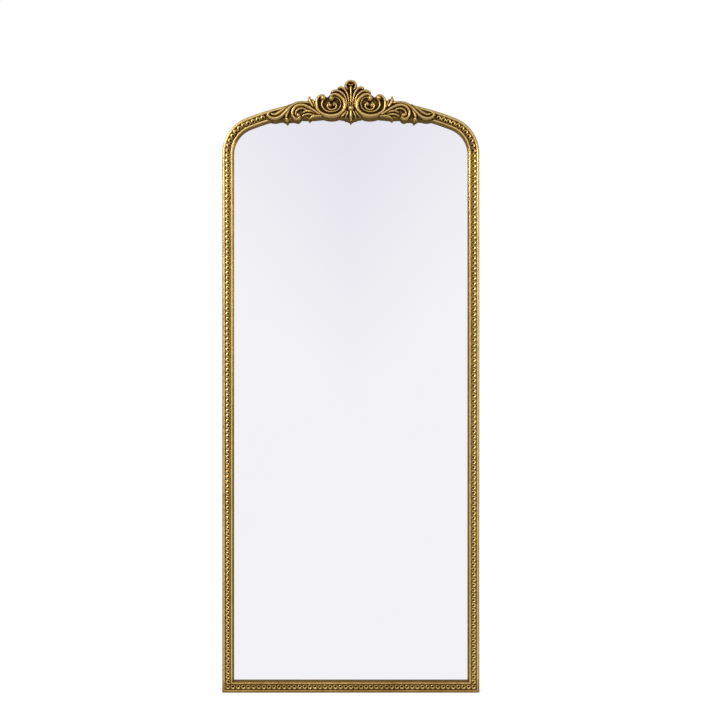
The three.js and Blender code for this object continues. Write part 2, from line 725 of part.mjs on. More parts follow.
// ---- the small pieces
function bumper(x, z) {
  const profile = [
    new THREE.Vector2(0, 0),
    new THREE.Vector2(BUMPER_RADIUS, 0),
    new THREE.Vector2(BUMPER_RADIUS, BUMPER_HEIGHT * BUMPER_SHOULDER),
    new THREE.Vector2(BUMPER_RADIUS * BUMPER_TOP, BUMPER_HEIGHT),
    new THREE.Vector2(0, BUMPER_HEIGHT),
  ];
  return new THREE.LatheGeometry(profile, 12).translate(x, STRAP_REAR_Y, z);
}

function bumperPlaces() {
  const archZ = ARCH_Z + Math.sqrt((ARCH_RADIUS - SCREW_INSET - 2) ** 2 - UPPER_BUMPER_SPREAD ** 2);
  return [
    { name: "left_upper_bumper", x: -UPPER_BUMPER_SPREAD, z: archZ },
    { name: "right_upper_bumper", x: UPPER_BUMPER_SPREAD, z: archZ },
    { name: "left_lower_bumper", x: -(HALF_WIDTH - LOWER_BUMPER_HEIGHT), z: LOWER_BUMPER_HEIGHT },
    { name: "right_lower_bumper", x: HALF_WIDTH - LOWER_BUMPER_HEIGHT, z: LOWER_BUMPER_HEIGHT },
  ];
}

// A rubber block that fills the bottom rebate between the rail and the edge of the glass.
function settingBlock() {
  const height = GLASS_INSET - REBATE_INSET - 2 * JOINT_GAP;
  return new THREE.BoxGeometry(BLOCK_LENGTH, GLASS_THICKNESS, height);
}

// ---- assembly
const mirrorFrame = new THREE.Group();

function place(name, geometry, material, parent = mirrorFrame) {
  const mesh = new THREE.Mesh(geometry, material);
  mesh.name = name;
  parent.add(mesh);
  return mesh;
}

const SIDES = [["left", -1], ["right", 1]];
const hangerX = HALF_WIDTH - HANGER_INSET;
const hangerScrewPoints = SIDES.flatMap(([, side]) =>
  STRAP_SCREW_DROPS.map((drop) => [side * hangerX, HANGER_HEIGHT - drop]),
);
const coverHoles = coverScrewPoints().map(([x, z]) => screw(COVER_SCREW, x, z, JOINT_GAP));
const crestHoles = crestScrewPoints().map(([x, z]) => screw(CREST_SCREW, x, z, JOINT_GAP));
const hangerHoles = hangerScrewPoints.map(([x, z]) => screw(STRAP_SCREW, x, z, JOINT_GAP));

function sideCutters(side) {
  return dowelPlaces().map((spec) => dowel(spec, side, JOINT_GAP));
}

function addRails() {
  const runs = railRuns();
  const [leftHoles, rightHoles] = [sideCutters(-1), sideCutters(1)];
  const allHoles = [...coverHoles, ...hangerHoles, ...leftHoles, ...rightHoles];
  place("bottom_rail", rail(runs.bottom, allHoles), giltMoulding());
  place("arch_rail", rail(runs.arch, [...allHoles, ...crestHoles]), giltMoulding());
  for (const [word, side] of SIDES) {
    place(`${word}_stile`, rail(toSide(runs.stile, side), allHoles), giltMoulding());
    place(`${word}_shoulder`, rail(toSide(runs.shoulder, side), allHoles), giltMoulding());
  }
}

function addBeads() {
  const runs = beadRuns();
  place("bottom_bead_course", beadCourse(runs.bottom), giltBeads());
  for (const [word, side] of SIDES) {
    place(`${word}_bead_course`, beadCourse(toSide(runs.stile, side)), giltBeads());
    place(`${word}_shoulder_bead_course`, beadCourse(toSide(runs.shoulder, side)), giltBeads());
  }
}

function addCrest() {
  place("crest", crest(crestHoles), giltCrest());
  crestScrewPoints().forEach(([x, z], i) => {
    const word = ["left", "middle", "right"][i];
    place(`crest_screw_${word}`, screw(CREST_SCREW, x, z), zincSteel());
  });
}

function addGlassAndBoards() {
  place("mirror_glass", panel(outline(GLASS_INSET), GLASS_BACK, GLASS_FRONT), silveredGlass());
  place("card_sheet", panel(outline(GLASS_INSET), CARD_BACK, CARD_BACK + CARD_THICKNESS), brownCard());
  place(
    "backing_board",
    panel(outline(REBATE_INSET + 1), BACKING_BACK, BACKING_BACK + BACKING_THICKNESS),
    rawBoard(),
  );
  const cover = panel(outline(COVER_INSET), COVER_REAR, -JOINT_GAP);
  place("rear_cover", cut(cover, [...coverHoles, ...hangerHoles]), blackBoard());
  coverScrewPoints().forEach(([x, z], i) => {
    place(`cover_screw_${String(i + 1).padStart(2, "0")}`, screw(COVER_SCREW, x, z), zincSteel());
  });
  for (const [word, side] of SIDES) {
    const block = place(`${word}_setting_block`, settingBlock(), blackRubber());
    block.position.set(
      side * BLOCK_SPREAD,
      REAR_Y - (GLASS_FRONT + GLASS_BACK) / 2,
      (GLASS_INSET + REBATE_INSET) / 2,
    );
  }
}

function addDowels() {
  for (const [word, side] of SIDES) {
    for (const spec of dowelPlaces()) {
      place(`${word}_${spec.name}`, dowel(spec, side), beech());
    }
  }
}

function addHangers() {
  for (const [word, side] of SIDES) {
    place(`${word}_hanger_strap`, hangerStrap(side * hangerX), zincSteel());
    const ring = place(`${word}_hanger_ring`, hangerRing(), zincSteel());
    ring.position.set(side * hangerX, RING_AXIS_Y, HANGER_HEIGHT);
    STRAP_SCREW_DROPS.forEach((drop, i) => {
      const spot = ["upper", "lower"][i];
      const strapScrew = screw(STRAP_SCREW, side * hangerX, HANGER_HEIGHT - drop);
      place(`${word}_strap_screw_${spot}`, strapScrew, zincSteel());
    });
  }
}

function addBumpers() {
  for (const { name, x, z } of bumperPlaces()) {
    place(name, bumper(x, z), blackRubber());
  }
}

addRails();
addBeads();
addCrest();
addGlassAndBoards();
addDowels();
addHangers();
addBumpers();

export default mirrorFrame;
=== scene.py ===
"""A tall mirror with an arched top, dressed for its picture.

Gilt rails, drilled beads, a carved crest and silvered glass, with the boards, screws, hangers and
bumpers behind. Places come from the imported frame. Profiles, carving and fittings are drawn in
millimetres and brought to metres by MM. A depth is measured forward from the seat of the rear
cover, and an inset is measured inward from the frame's outer edge.
"""

import bmesh
import bpy
import numpy as np
from bpy.props import FloatProperty, FloatVectorProperty, PointerProperty
from bpy.types import Operator, Panel, PropertyGroup
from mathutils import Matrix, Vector


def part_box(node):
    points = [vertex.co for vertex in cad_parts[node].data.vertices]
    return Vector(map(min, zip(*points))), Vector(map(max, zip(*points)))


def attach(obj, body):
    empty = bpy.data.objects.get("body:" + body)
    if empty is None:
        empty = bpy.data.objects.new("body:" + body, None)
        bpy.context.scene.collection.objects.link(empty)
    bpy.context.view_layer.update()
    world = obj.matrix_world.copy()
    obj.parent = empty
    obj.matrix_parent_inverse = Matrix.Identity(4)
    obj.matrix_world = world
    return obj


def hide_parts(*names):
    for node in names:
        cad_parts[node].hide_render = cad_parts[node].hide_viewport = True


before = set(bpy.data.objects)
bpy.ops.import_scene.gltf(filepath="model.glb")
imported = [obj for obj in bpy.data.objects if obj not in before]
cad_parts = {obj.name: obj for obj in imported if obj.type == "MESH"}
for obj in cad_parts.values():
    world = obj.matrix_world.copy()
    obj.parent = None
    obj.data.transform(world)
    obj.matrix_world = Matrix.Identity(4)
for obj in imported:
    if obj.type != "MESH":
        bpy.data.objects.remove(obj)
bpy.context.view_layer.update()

bl_info = {
    "name": "Arched Gilt Mirror",
    "version": (1, 0, 0),
    "blender": (4, 5, 0),
    "location": "3D View > Sidebar > Gilt Mirror",
    "description": "Dresses an arched mirror with a beaded gilt moulding and a carved crest",
    "category": "Object",
}

# ---- driving dimensions, in metres
MM = 0.001
JOINT_GAP = 0.3 * MM
ARCH_RADIUS = 796 * MM
SHOULDER_RADIUS = 105.2 * MM
BEAD_INSET = 15.8 * MM
CREST_HALF_WIDTH = 237 * MM
CREST_DROP = 3 * MM
HANGER_INSET = 15 * MM
SIDES = {"left": -1, "right": 1}
# How many straight pieces stand for the shoulder's curve and for the arch's.
SHOULDER_STEPS = 28
ARCH_STEPS = 96
# A face whose normal points back by more than this belongs to the rear.
REAR_FACING = 0.7

# ---- places that the frame gives
HALF_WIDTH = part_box("right_stile")[1].x
ARCH_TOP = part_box("arch_rail")[1].z
SEAT_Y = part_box("rear_cover")[0].y - JOINT_GAP
SHOULDER_X = HALF_WIDTH - SHOULDER_RADIUS
ARCH_Z = ARCH_TOP - ARCH_RADIUS
SHOULDER_Z = ARCH_Z + np.sqrt((ARCH_RADIUS - SHOULDER_RADIUS) ** 2 - SHOULDER_X**2)
SHOULDER_END = np.arctan2(SHOULDER_Z - ARCH_Z, SHOULDER_X)


# ---- meshes from arrays
def add_object(name, data):
    """Puts an object with this data in the scene."""
    made = bpy.data.objects.new(name, data)
    bpy.context.scene.collection.objects.link(made)
    return made


def turn_angles(count, start=0.0):
    """Even angles once round, from start steps on, in radians."""
    return (np.arange(count) + start) * 2 * np.pi / count


def cell_corners(index):
    """The four corners of every cell of a grid of point numbers."""
    corners = [index[:-1, :-1], index[1:, :-1], index[1:, 1:], index[:-1, 1:]]
    return np.stack(corners, axis=-1)


def grid_faces(rows, columns, wrap_rows=False, wrap_columns=False):
    """Four-sided faces of a grid of rows x columns points. A wrapped side joins last to first."""
    index = np.arange(rows * columns).reshape(rows, columns)
    if wrap_rows:
        index = np.vstack([index, index[:1]])
    if wrap_columns:
        index = np.hstack([index, index[:, :1]])
    return cell_corners(index).reshape(-1, 4)


def tube_faces(rings, size, wrap_rings=False):
    """Faces of a row of closed rings, with flat ends unless the row itself is closed."""
    sides = grid_faces(rings, size, wrap_rings, wrap_columns=True)
    if wrap_rings:
        return [sides]
    ends = np.array([np.arange(size), np.arange(size) + (rings - 1) * size])
    return [sides, ends]


def copied_faces(faces, count, size):
    """The faces of one shape, repeated for count copies of its size points."""
    shifts = np.arange(count) * size
    return [(group[None] + shifts[:, None, None]).reshape(-1, group.shape[1]) for group in faces]


def build_piece(name, points, faces, materials, body="root", hollow=None, sharp_degrees=40):
    """Makes an object from points and faces, with its faces turned outwards and smoothed.

    hollow is one number for each point, from 0 on proud, rubbed places to 1 in deep hollows.
    """
    mesh = bpy.data.meshes.new(name)
    corners = [face for group in faces for face in group.tolist()]
    mesh.from_pydata(points.reshape(-1, 3), [], corners)
    piece = add_object(name, mesh)
    work = bmesh.new()
    work.from_mesh(mesh)
    bmesh.ops.recalc_face_normals(work, faces=work.faces)
    work.to_mesh(mesh)
    work.free()
    for material in materials:
        mesh.materials.append(material)
    if hollow is not None:
        write_hollow(mesh, hollow)
    mesh.shade_smooth()
    mesh.set_sharp_from_angle(angle=np.radians(sharp_degrees))
    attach(piece, body)
    return piece


def write_hollow(mesh, hollow):
    """Stores how hollow each point is, which the gilding reads."""
    attribute = mesh.attributes.new("hollow", "FLOAT", "POINT")
    attribute.data.foreach_set("value", np.ascontiguousarray(hollow, dtype=np.float32).ravel())


def read_rows(items, name):
    """A value of every point or face of a mesh, as rows of x, y and z."""
    values = np.empty(len(items) * 3, np.float32)
    items.foreach_get(name, values)
    return values.reshape(-1, 3)


def paint_faces(mesh, slots):
    """Gives each face the material in its slot."""
    mesh.polygons.foreach_set("material_index", np.ascontiguousarray(slots, dtype=np.int32))


def blurred(field, reach):
    """The mean of a grid over squares of 2 x reach + 1 points, by running sums along each axis."""
    for axis in (0, 1):
        margin = [(0, 0), (0, 0)]
        margin[axis] = (reach + 1, reach)
        sums = np.pad(field, margin, mode="edge").cumsum(axis)
        length = sums.shape[axis]
        upper = np.take(sums, range(2 * reach + 1, length), axis)
        lower = np.take(sums, range(length - 2 * reach - 1), axis)
        field = (upper - lower) / (2 * reach + 1)
    return field


# ---- outlines and sections
def rounded(corners, steps=5):
    """A closed outline whose corners (x, y, radius) are arcs that touch both of their edges."""
    points = []
    for i, (x, y, radius) in enumerate(corners):
        here = np.array([x, y], float)
        before = np.array(corners[i - 1][:2]) - here
        after = np.array(corners[(i + 1) % len(corners)][:2]) - here
        before /= np.linalg.norm(before)
        after /= np.linalg.norm(after)
        half = np.arccos(before @ after) / 2
        bisector = (before + after) / np.linalg.norm(before + after)
        centre = here + bisector * radius / np.sin(half)
        start = here + before * radius / np.tan(half) - centre
        end = here + after * radius / np.tan(half) - centre
        turn = np.arctan2(start[0] * end[1] - start[1] * end[0], start @ end)
        angles = np.linspace(0, turn, steps + 1)[:, None]
        square = np.array([-start[1], start[0]])
        points.append(centre + start * np.cos(angles) + square * np.sin(angles))
    return np.vstack(points)


def straight(start, end, start_inward, end_inward):
    """A straight run: its two ends on the outer edge, and the way that an inset goes in at each."""
    return np.array([start, end], float), np.array([start_inward, end_inward], float)


def arc(centre, radius, start, end, steps):
    """A round run, its angles counted from +X towards +Z. An inset goes towards the centre."""
    angles = np.linspace(start, end, steps + 1)
    out = np.stack([np.cos(angles), np.sin(angles)], axis=-1)
    return np.array(centre) + radius * out, -out


def mirrored(run, side):
    """The run on its own side (1) or on the other side (-1)."""
    return tuple(part * np.array([side, 1.0]) for part in run)


def sweep(run, section):
    """Carries a section along a run: a point goes its inset inward and its depth forward."""
    points, inward = run
    inset, depth = section.T
    x = points[:, :1] + inward[:, :1] * inset
    z = points[:, 1:] + inward[:, 1:] * inset
    y = np.broadcast_to(SEAT_Y - depth, x.shape)
    return np.stack([x, y, z], axis=-1)


def whole_outline():
    """The frame's outer edge all the way round, from the bottom left corner, as one closed run."""
    steps = 24
    shoulder = arc((SHOULDER_X, SHOULDER_Z), SHOULDER_RADIUS, 0, SHOULDER_END, steps)
    half_arch = arc((0, ARCH_Z), ARCH_RADIUS, SHOULDER_END, np.pi / 2, 2 * steps)
    corner = np.array([[HALF_WIDTH, 0.0]]), np.array([[-1.0, 1.0]])
    right = [np.vstack([corner[k], shoulder[k], half_arch[k][1:]]) for k in (0, 1)]
    left = [half[-2::-1] * np.array([-1.0, 1.0]) for half in right]
    return tuple(np.vstack([right[k], left[k]]) for k in (0, 1))


# ---- the moulding: corners as inset, depth and radius, in millimetres
RAIL_CORNERS = [
    (0, -3.3, 0.6),
    (0, 30, 4),
    (8, 30, 3.9),
    (8.6, 24.5, 0.6),
    (22.9, 24.5, 0.7),
    (23.4, 28.2, 1.5),
    (27.4, 28.2, 1.8),
    (28.6, 24.6, 2.5),
    (31, 20.4, 0.8),
    (31, 14, 0.4),
    (23, 14, 0.2),
    (23, 0, 0.3),
    (4.7, 0, 0.2),
    (4.7, -3.3, 0.2),
]
RAIL_FACE = 31
REBATE_INSET = 23


def rail_runs():
    """The rails' runs on the right side, each stopping a hair short of its neighbour."""
    hair = 0.03 * MM
    slip = 0.15 * MM
    shoulder_slip = hair / SHOULDER_RADIUS
    arch_slip = hair / ARCH_RADIUS
    bottom_ends = [(-HALF_WIDTH + slip, 0), (HALF_WIDTH - slip, 0)]
    stile_ends = [(HALF_WIDTH, slip), (HALF_WIDTH, SHOULDER_Z - hair)]
    shoulder_angles = [shoulder_slip, SHOULDER_END - shoulder_slip]
    arch_angles = [SHOULDER_END + arch_slip, np.pi - SHOULDER_END - arch_slip]
    return {
        "bottom_rail": straight(*bottom_ends, (1, 1), (-1, 1)),
        "stile": straight(*stile_ends, (-1, 1), (-1, 0)),
        "shoulder": arc(
            (SHOULDER_X, SHOULDER_Z), SHOULDER_RADIUS, *shoulder_angles, SHOULDER_STEPS
        ),
        "arch_rail": arc((0, ARCH_Z), ARCH_RADIUS, *arch_angles, ARCH_STEPS),
    }


def section_hollow(section):
    """How hollow each point of a section is. In front it follows how far the point lies below the
    mean level within 4 mm of it, with painted shade added inside the ridge and most on the slope to the
    glass."""
    front_depth, slope_top = 12, 26.5
    even, deepest, behind = 0.34, 3.6, 0.45
    ridge_shade, slope_shade = 0.3, 0.34
    samples_per_mm, reach = 4, 4
    inset, depth = section.T / MM
    front = depth > front_depth
    order = np.argsort(inset[front])
    level = np.linspace(0, RAIL_FACE, RAIL_FACE * samples_per_mm + 1)
    profile = np.interp(level, inset[front][order], depth[front][order])
    nearby = blurred(np.tile(profile, (2, 1)), reach * samples_per_mm)[0]
    sunk = np.interp(inset, level, nearby) - depth
    slope = np.clip((inset - slope_top) / 2, 0, 1)
    # Painted shade: more umber inside the ridge and most on the slope down to the glass.
    inner = ridge_shade * (inset > REBATE_INSET) + slope_shade * slope
    return np.where(front, np.clip(even + sunk / deepest + inner, 0, 1), behind)


def add_rail(node, run):
    """One rail: the section carried along its run. Its rear faces are painted, not gilt."""
    section = rounded(RAIL_CORNERS) * MM
    points = sweep(run, section)
    hollow = np.tile(section_hollow(section), (len(points), 1))
    faces = tube_faces(*points.shape[:2])
    materials = [gilt_moulding(), black_paint()]
    rail = build_piece(f"gilt_{node}", points, faces, materials, hollow=hollow)
    paint_faces(rail.data, read_rows(rail.data.polygons, "normal")[:, 1] > REAR_FACING)
    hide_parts(node)


# ---- the bead courses, with the strip's depths and half width in millimetres
STRIP_BACK = 24.8
STRIP_FRONT = 25.8
STRIP_HALF_WIDTH = 6.5
STRIP_HOLLOW = 0.42
BEAD_SIDES = 12
SHOULDER_PIT_STRETCH = 0.3


def bead_shape(settings, pit_stretch):
    """One drilled bead as rings of points: inward, along and forward, in millimetres.

    Each ring's radius is a share of the bead's, and its height a share of the bead's height. The
    rings inside the rim move towards the glass and grow longer across the course by pit_stretch, so
    that the pit lies off the middle and is oval round the shoulders. An oval pit is also darker.
    """
    rim, pit = 0.9, 0.3
    shares = np.array([1.0, 0.98, 0.88, 0.68, 0.46, 0.3, 0.04])
    heights = np.array([-0.1, 0.45, 0.85, 1.0, 0.82, 0.25, 0.12])
    hollows = np.array([0.3, 0.05, -0.15, -0.15, 0.05, 0.8, 1.0])
    hollows += pit_stretch * np.array([0, 0, 0, 0, 1.3, 0.5, 0])
    within = np.clip((rim - shares) / (rim - pit), 0, 1)[:, None]
    shift = settings.bead_offset / MM * (1 + pit_stretch) * within
    angles = turn_angles(BEAD_SIDES)
    radius = settings.bead_radius / MM
    inward = shift + radius * shares[:, None] * np.cos(angles) * (1 + pit_stretch * within)
    along = radius * shares[:, None] * np.sin(angles)
    forward = np.repeat(heights[:, None] * settings.bead_height / MM, BEAD_SIDES, axis=1)
    shape = np.stack([inward, along, forward], axis=-1)
    return shape, np.repeat(hollows[:, None], BEAD_SIDES, axis=1)


def bead_line(run, lengths_at, pitch):
    """Even places along a line: the first and last bead lie half a pitch inside its ends."""
    total = lengths_at[-1]
    count = int(round(total / pitch))
    reached = (np.arange(count) + 0.5) / count * total
    return tuple(
        np.stack([np.interp(reached, lengths_at, part[:, k]) for k in (0, 1)], axis=-1)
        for part in run
    )


def add_bead_course(node, run, settings, pit_stretch=0.0):
    """A strip on the moulding's bed with beads standing on it, turned to follow the run."""
    outer = BEAD_INSET / MM - STRIP_HALF_WIDTH
    inner = BEAD_INSET / MM + STRIP_HALF_WIDTH
    corners = [
        (outer, STRIP_BACK, 0.1),
        (outer, STRIP_FRONT, 0.5),
        (inner, STRIP_FRONT, 0.5),
        (inner, STRIP_BACK, 0.1),
    ]
    strip = sweep(run, rounded(corners, steps=2) * MM)
    centres = run[0] + run[1] * BEAD_INSET
    reached = np.concatenate([[0], np.cumsum(np.hypot(*np.diff(centres, axis=0).T))])
    places, inward = bead_line((centres, run[1]), reached, settings.bead_pitch)
    shape, hollow = bead_shape(settings, pit_stretch)
    shape = shape * MM
    aside = np.stack([-inward[:, 1], inward[:, 0]], axis=-1)
    flat = shape.reshape(-1, 3)
    x = places[:, :1] + inward[:, :1] * flat[:, 0] + aside[:, :1] * flat[:, 1]
    z = places[:, 1:] + inward[:, 1:] * flat[:, 0] + aside[:, 1:] * flat[:, 1]
    y = np.broadcast_to(SEAT_Y - STRIP_FRONT * MM - flat[:, 2], x.shape)
    beads = np.stack([x, y, z], axis=-1)
    bead_faces = copied_faces(tube_faces(*shape.shape[:2]), len(places), len(flat))
    strip_count = strip.shape[0] * strip.shape[1]
    faces = tube_faces(*strip.shape[:2]) + [group + strip_count for group in bead_faces]
    points = np.vstack([strip.reshape(-1, 3), beads.reshape(-1, 3)])
    strip_hollows = np.full(strip_count, STRIP_HOLLOW + pit_stretch)
    hollows = np.concatenate([strip_hollows, np.tile(hollow.ravel(), len(places))])
    course = build_piece(f"gilt_{node}", points, faces, [gilt_beads()], hollow=hollows)
    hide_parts(node)


def bead_runs():
    """The courses' runs: the bottom one holds the corner beads, and the arch's stop at the crest."""
    half_pitch = 7.1 * MM
    foot = BEAD_INSET + half_pitch
    corner = HALF_WIDTH - BEAD_INSET + half_pitch
    crest_edge = np.arccos((CREST_HALF_WIDTH + JOINT_GAP) / (ARCH_RADIUS - BEAD_INSET))
    arch_steps = 8
    shoulder = arc((SHOULDER_X, SHOULDER_Z), SHOULDER_RADIUS, 0, SHOULDER_END, SHOULDER_STEPS)
    arch = arc((0, ARCH_Z), ARCH_RADIUS, SHOULDER_END, crest_edge, arch_steps)
    bend = tuple(np.vstack([shoulder[k], arch[k][1:]]) for k in (0, 1))
    return {
        "bottom": straight((-corner, 0), (corner, 0), (0, 1), (0, 1)),
        "stile": straight((HALF_WIDTH, foot), (HALF_WIDTH, SHOULDER_Z), (-1, 0), (-1, 0)),
        "bend": bend,
    }


# ---- the crest, in millimetres: X from its middle and Z from the top of the arch
def stroke(route, widths, crowns):
    """A carved ridge, whose widths and crowns are evenly spread from its start to its end."""
    return {"route": np.array(route, float), "widths": widths, "crowns": crowns}


STROKES = [
    # the great scroll, its inner fillet and the volute in its eye
    stroke(
        [(57, -1), (54, 7), (46.5, 11.5), (37, 10), (27, 3), (19, -7), (16.5, -19.5),
         (20, -31.5), (29.5, -41.5), (43, -47), (58, -48), (73, -45), (85, -38.5),
         (92.5, -29.5), (95, -18.5), (94.5, -7), (90, 2.5), (83, 7.5), (76, 7.5)],
        (8, 14.5, 13, 11, 9), (42, 43, 43.5, 43, 43),
    ),
    stroke(
        [(48, 3), (39, 2), (32, -3.5), (28.3, -11), (28.3, -19.5), (31.5, -27), (37.5, -33),
         (46, -36.3), (56, -37.3), (66, -35.5), (74.5, -29.5), (79.5, -21.5), (80, -13),
         (77.5, -7)],
        (4.5, 5.5, 8.5), (40, 41.5, 42),
    ),
    stroke(
        [(59.5, -12.5), (64, -18), (64, -25), (59, -30.5), (51.5, -32), (44.5, -29.5),
         (40.5, -24), (41, -17.5), (45.5, -13)],
        (8, 7.5, 8), (43, 43, 43),
    ),
    # the plumes of the palmette
    stroke(
        [(5, -21), (5.8, -9), (7.5, 2.5), (10, 12), (14.5, 20.5), (20.5, 27), (27, 30),
         (32.5, 28.5)],
        (4, 7.5, 9), (41, 44, 43),
    ),
    stroke(
        [(10.5, -22), (11.5, -11), (14, -0.5), (18.5, 8.5), (26, 16), (35, 20.5), (44, 21.5),
         (51.5, 17.5)],
        (4, 8.5, 9), (40, 42.5, 41),
    ),
    stroke(
        [(9.5, 25.5), (13, 31), (13.5, 38), (10, 43.5), (4.5, 46.3), (-1, 46.8)],
        (6, 9, 9), (41, 45, 46),
    ),
    stroke([(7, 39.5), (3.5, 37), (-1, 36.5)], (4, 6, 6), (42, 44, 44)),
    stroke([(0, -18), (0, 6), (0, 33)], (5, 7.5, 9), (43, 42, 39)),
    # the pendant
    stroke([(0, -36), (0, -50), (0, -62)], (10, 13, 4), (43, 43, 37)),
    stroke([(7.5, -36), (11, -45), (14.5, -54)], (5, 8, 4), (41, 41, 37)),
    stroke([(12.5, -35), (18.5, -43), (26.5, -50.5)], (5, 8.5, 4), (40, 40, 37)),
    # the side scroll and the spray inside it
    stroke(
        [(87, -43), (103, -33), (118, -24), (132.5, -18.5), (145.5, -19), (155, -24.5),
         (161, -33), (162.5, -41.5), (160, -50), (153.5, -55.5), (146, -56), (141, -51.5)],
        (9, 11.5, 8), (43, 43.5, 42),
    ),
    stroke(
        [(123, -31), (135.5, -27.5), (146, -30.5), (152, -37.5), (152.5, -45.5)],
        (6, 8, 6), (39, 42, 40),
    ),
    stroke([(98, -41), (111, -35.5), (122.5, -34.5), (132, -38.5)], (6, 9.5, 5), (38, 41, 39)),
    stroke([(98, -46), (112, -43.5), (124, -44), (134, -48.5)], (5, 8, 5), (38, 40.5, 38)),
    stroke([(82, -47.5), (97, -48), (108, -50.5), (116, -57)], (8, 9.5, 3), (39, 41, 36)),
    # the end leaf, its rib and the drop below it
    stroke(
        [(108, -12), (126, -10.5), (145, -12.5), (159, -18), (171, -27), (181, -37.5),
         (191, -47), (203, -53.5), (215, -55), (225, -51.5), (230, -44.5), (226, -39)],
        (8, 14, 9), (39, 42.5, 41),
    ),
    stroke(
        [(168, -17), (180, -25), (190, -33), (201, -40.5), (211, -44.5), (219, -43)],
        (6, 10, 11.5, 8), (37, 40, 40, 39),
    ),
    stroke(
        [(171, -34), (176, -42), (179, -50), (179, -57), (176.5, -64)],
        (6, 10, 4), (39, 41.5, 37),
    ),
    # the pointed leaves between the two scrolls
    stroke(
        [(114.5, 5), (114, -4), (110.5, -13), (105, -21)],
        (5, 11, 12.5, 11, 8), (38, 41, 42, 42, 41),
    ),
    stroke(
        [(106, -2), (104, -9), (101, -17), (97.5, -26)],
        (4, 7.5, 8, 7, 5), (38, 39.5, 40, 40, 39),
    ),
]
# A ball: X, Z, radius and crown.
BALLS = [
    (53.5, -0.5, 8.5, 46), (77, 1.5, 9, 46), (46.5, -17, 5.5, 45), (58, -19.5, 6.5, 46),
    (145.5, -46.5, 7, 44), (178, -57.5, 6, 42), (0, -28, 9.5, 48),
]
# Half of the ground's outline, from the top down the right side to the pendant.
GROUND = [
    (0, 50), (9, 46.5), (14.5, 38), (12.5, 30), (22, 29), (31, 28), (36, 22), (50, 20),
    (57, 12), (65, 4), (76, 9), (88, 7), (97, -3), (103, -12), (122, -11), (146, -13),
    (163, -18), (176, -25), (190, -33), (213, -38), (232, -42), (235.5, -50), (232, -58),
    (214, -61), (190, -57.5), (181, -62), (168, -59), (152, -58.5), (136, -53), (117, -54),
    (96, -51), (82, -50.5), (58, -53), (32, -50.5), (16, -54), (0, -61),
]
# Depths of the back, of the ground at its rim and of the ground within.
CREST_BACK = 14
GROUND_EDGE = 31.4
GROUND_TOP = 33
# The relief's grid: its room beyond the crest's half width, and its lowest and highest Z.
RELIEF_MARGIN = 4
RELIEF_FOOT = -78
RELIEF_HEAD = 56
# The room cut for the arch rail as inset and depth, and half the angle that it spans in degrees.
SADDLE_CORNERS = [(-0.3, -8), (-0.3, 30.3), (31.3, 30.3), (31.3, -8)]
SADDLE_HALF_SPAN = 24


def smooth_line(route, spacing=1.0):
    """A Catmull-Rom curve through the route's points, sampled at an even spacing."""
    samples = 20
    padded = np.vstack([route[:1], route, route[-1:]])
    t = np.linspace(0, 1, samples, endpoint=False)[:, None, None]
    a, b, c, d = padded[:-3], padded[1:-2], padded[2:-1], padded[3:]
    square, cube = 2 * a - 5 * b + 4 * c - d, 3 * b - a - 3 * c + d
    curve = 0.5 * (2 * b + (c - a) * t + square * t**2 + cube * t**3)
    curve = np.vstack([curve.transpose(1, 0, 2).reshape(-1, 2), route[-1:]])
    reached = np.concatenate([[0], np.cumsum(np.hypot(*np.diff(curve, axis=0).T))])
    even = np.linspace(0, reached[-1], int(reached[-1] / spacing) + 2)
    return np.stack([np.interp(even, reached, curve[:, k]) for k in (0, 1)], axis=-1)


def carve_ridge(x, z, relief, inside, ridge):
    """Raises a rounded ridge: its crown times (1 - r^2)^0.6, with r the distance from its line over
    half its width there. inside keeps the greatest distance within any ridge's edge."""
    rounding = 0.6
    line = smooth_line(ridge["route"])
    reach = max(ridge["widths"]) / 2 + 2
    low, high = line.min(axis=0) - reach, line.max(axis=0) + reach
    near = (x > low[0]) & (x < high[0]) & (z > low[1]) & (z < high[1])
    offset = np.stack([x[near], z[near]], axis=-1)[:, None] - line
    squared = (offset**2).sum(axis=-1)
    nearest = squared.argmin(axis=1)
    tangent = np.gradient(line, axis=0)
    tangent /= np.linalg.norm(tangent, axis=1, keepdims=True)
    chosen = offset[np.arange(len(nearest)), nearest]
    slide = (chosen * tangent[nearest]).sum(axis=-1)
    slide[(nearest == 0) | (nearest == len(line) - 1)] = 0
    distance = np.sqrt(np.maximum(squared.min(axis=1) - slide**2, 0))
    u = (nearest + slide) / (len(line) - 1)
    width, crown = (
        np.interp(u, np.linspace(0, 1, len(ridge[part])), ridge[part]) for part in ("widths", "crowns")
    )
    half = width / 2
    rise = np.clip(1 - (distance / half) ** 2, 0, 1) ** rounding
    relief[near] = np.maximum(relief[near], GROUND_EDGE + (crown - GROUND_EDGE) * rise)
    inside[near] = np.maximum(inside[near], half - distance)


def carve_ball(x, z, relief, inside, ball):
    """Raises a ball: its crown times the square root of 1 - r^2."""
    centre_x, centre_z, radius, crown = ball
    distance = np.hypot(x - centre_x, z - centre_z)
    rise = np.sqrt(np.clip(1 - (distance / radius) ** 2, 0, 1))
    np.maximum(relief, GROUND_EDGE + (crown - GROUND_EDGE) * rise, out=relief)
    np.maximum(inside, radius - distance, out=inside)


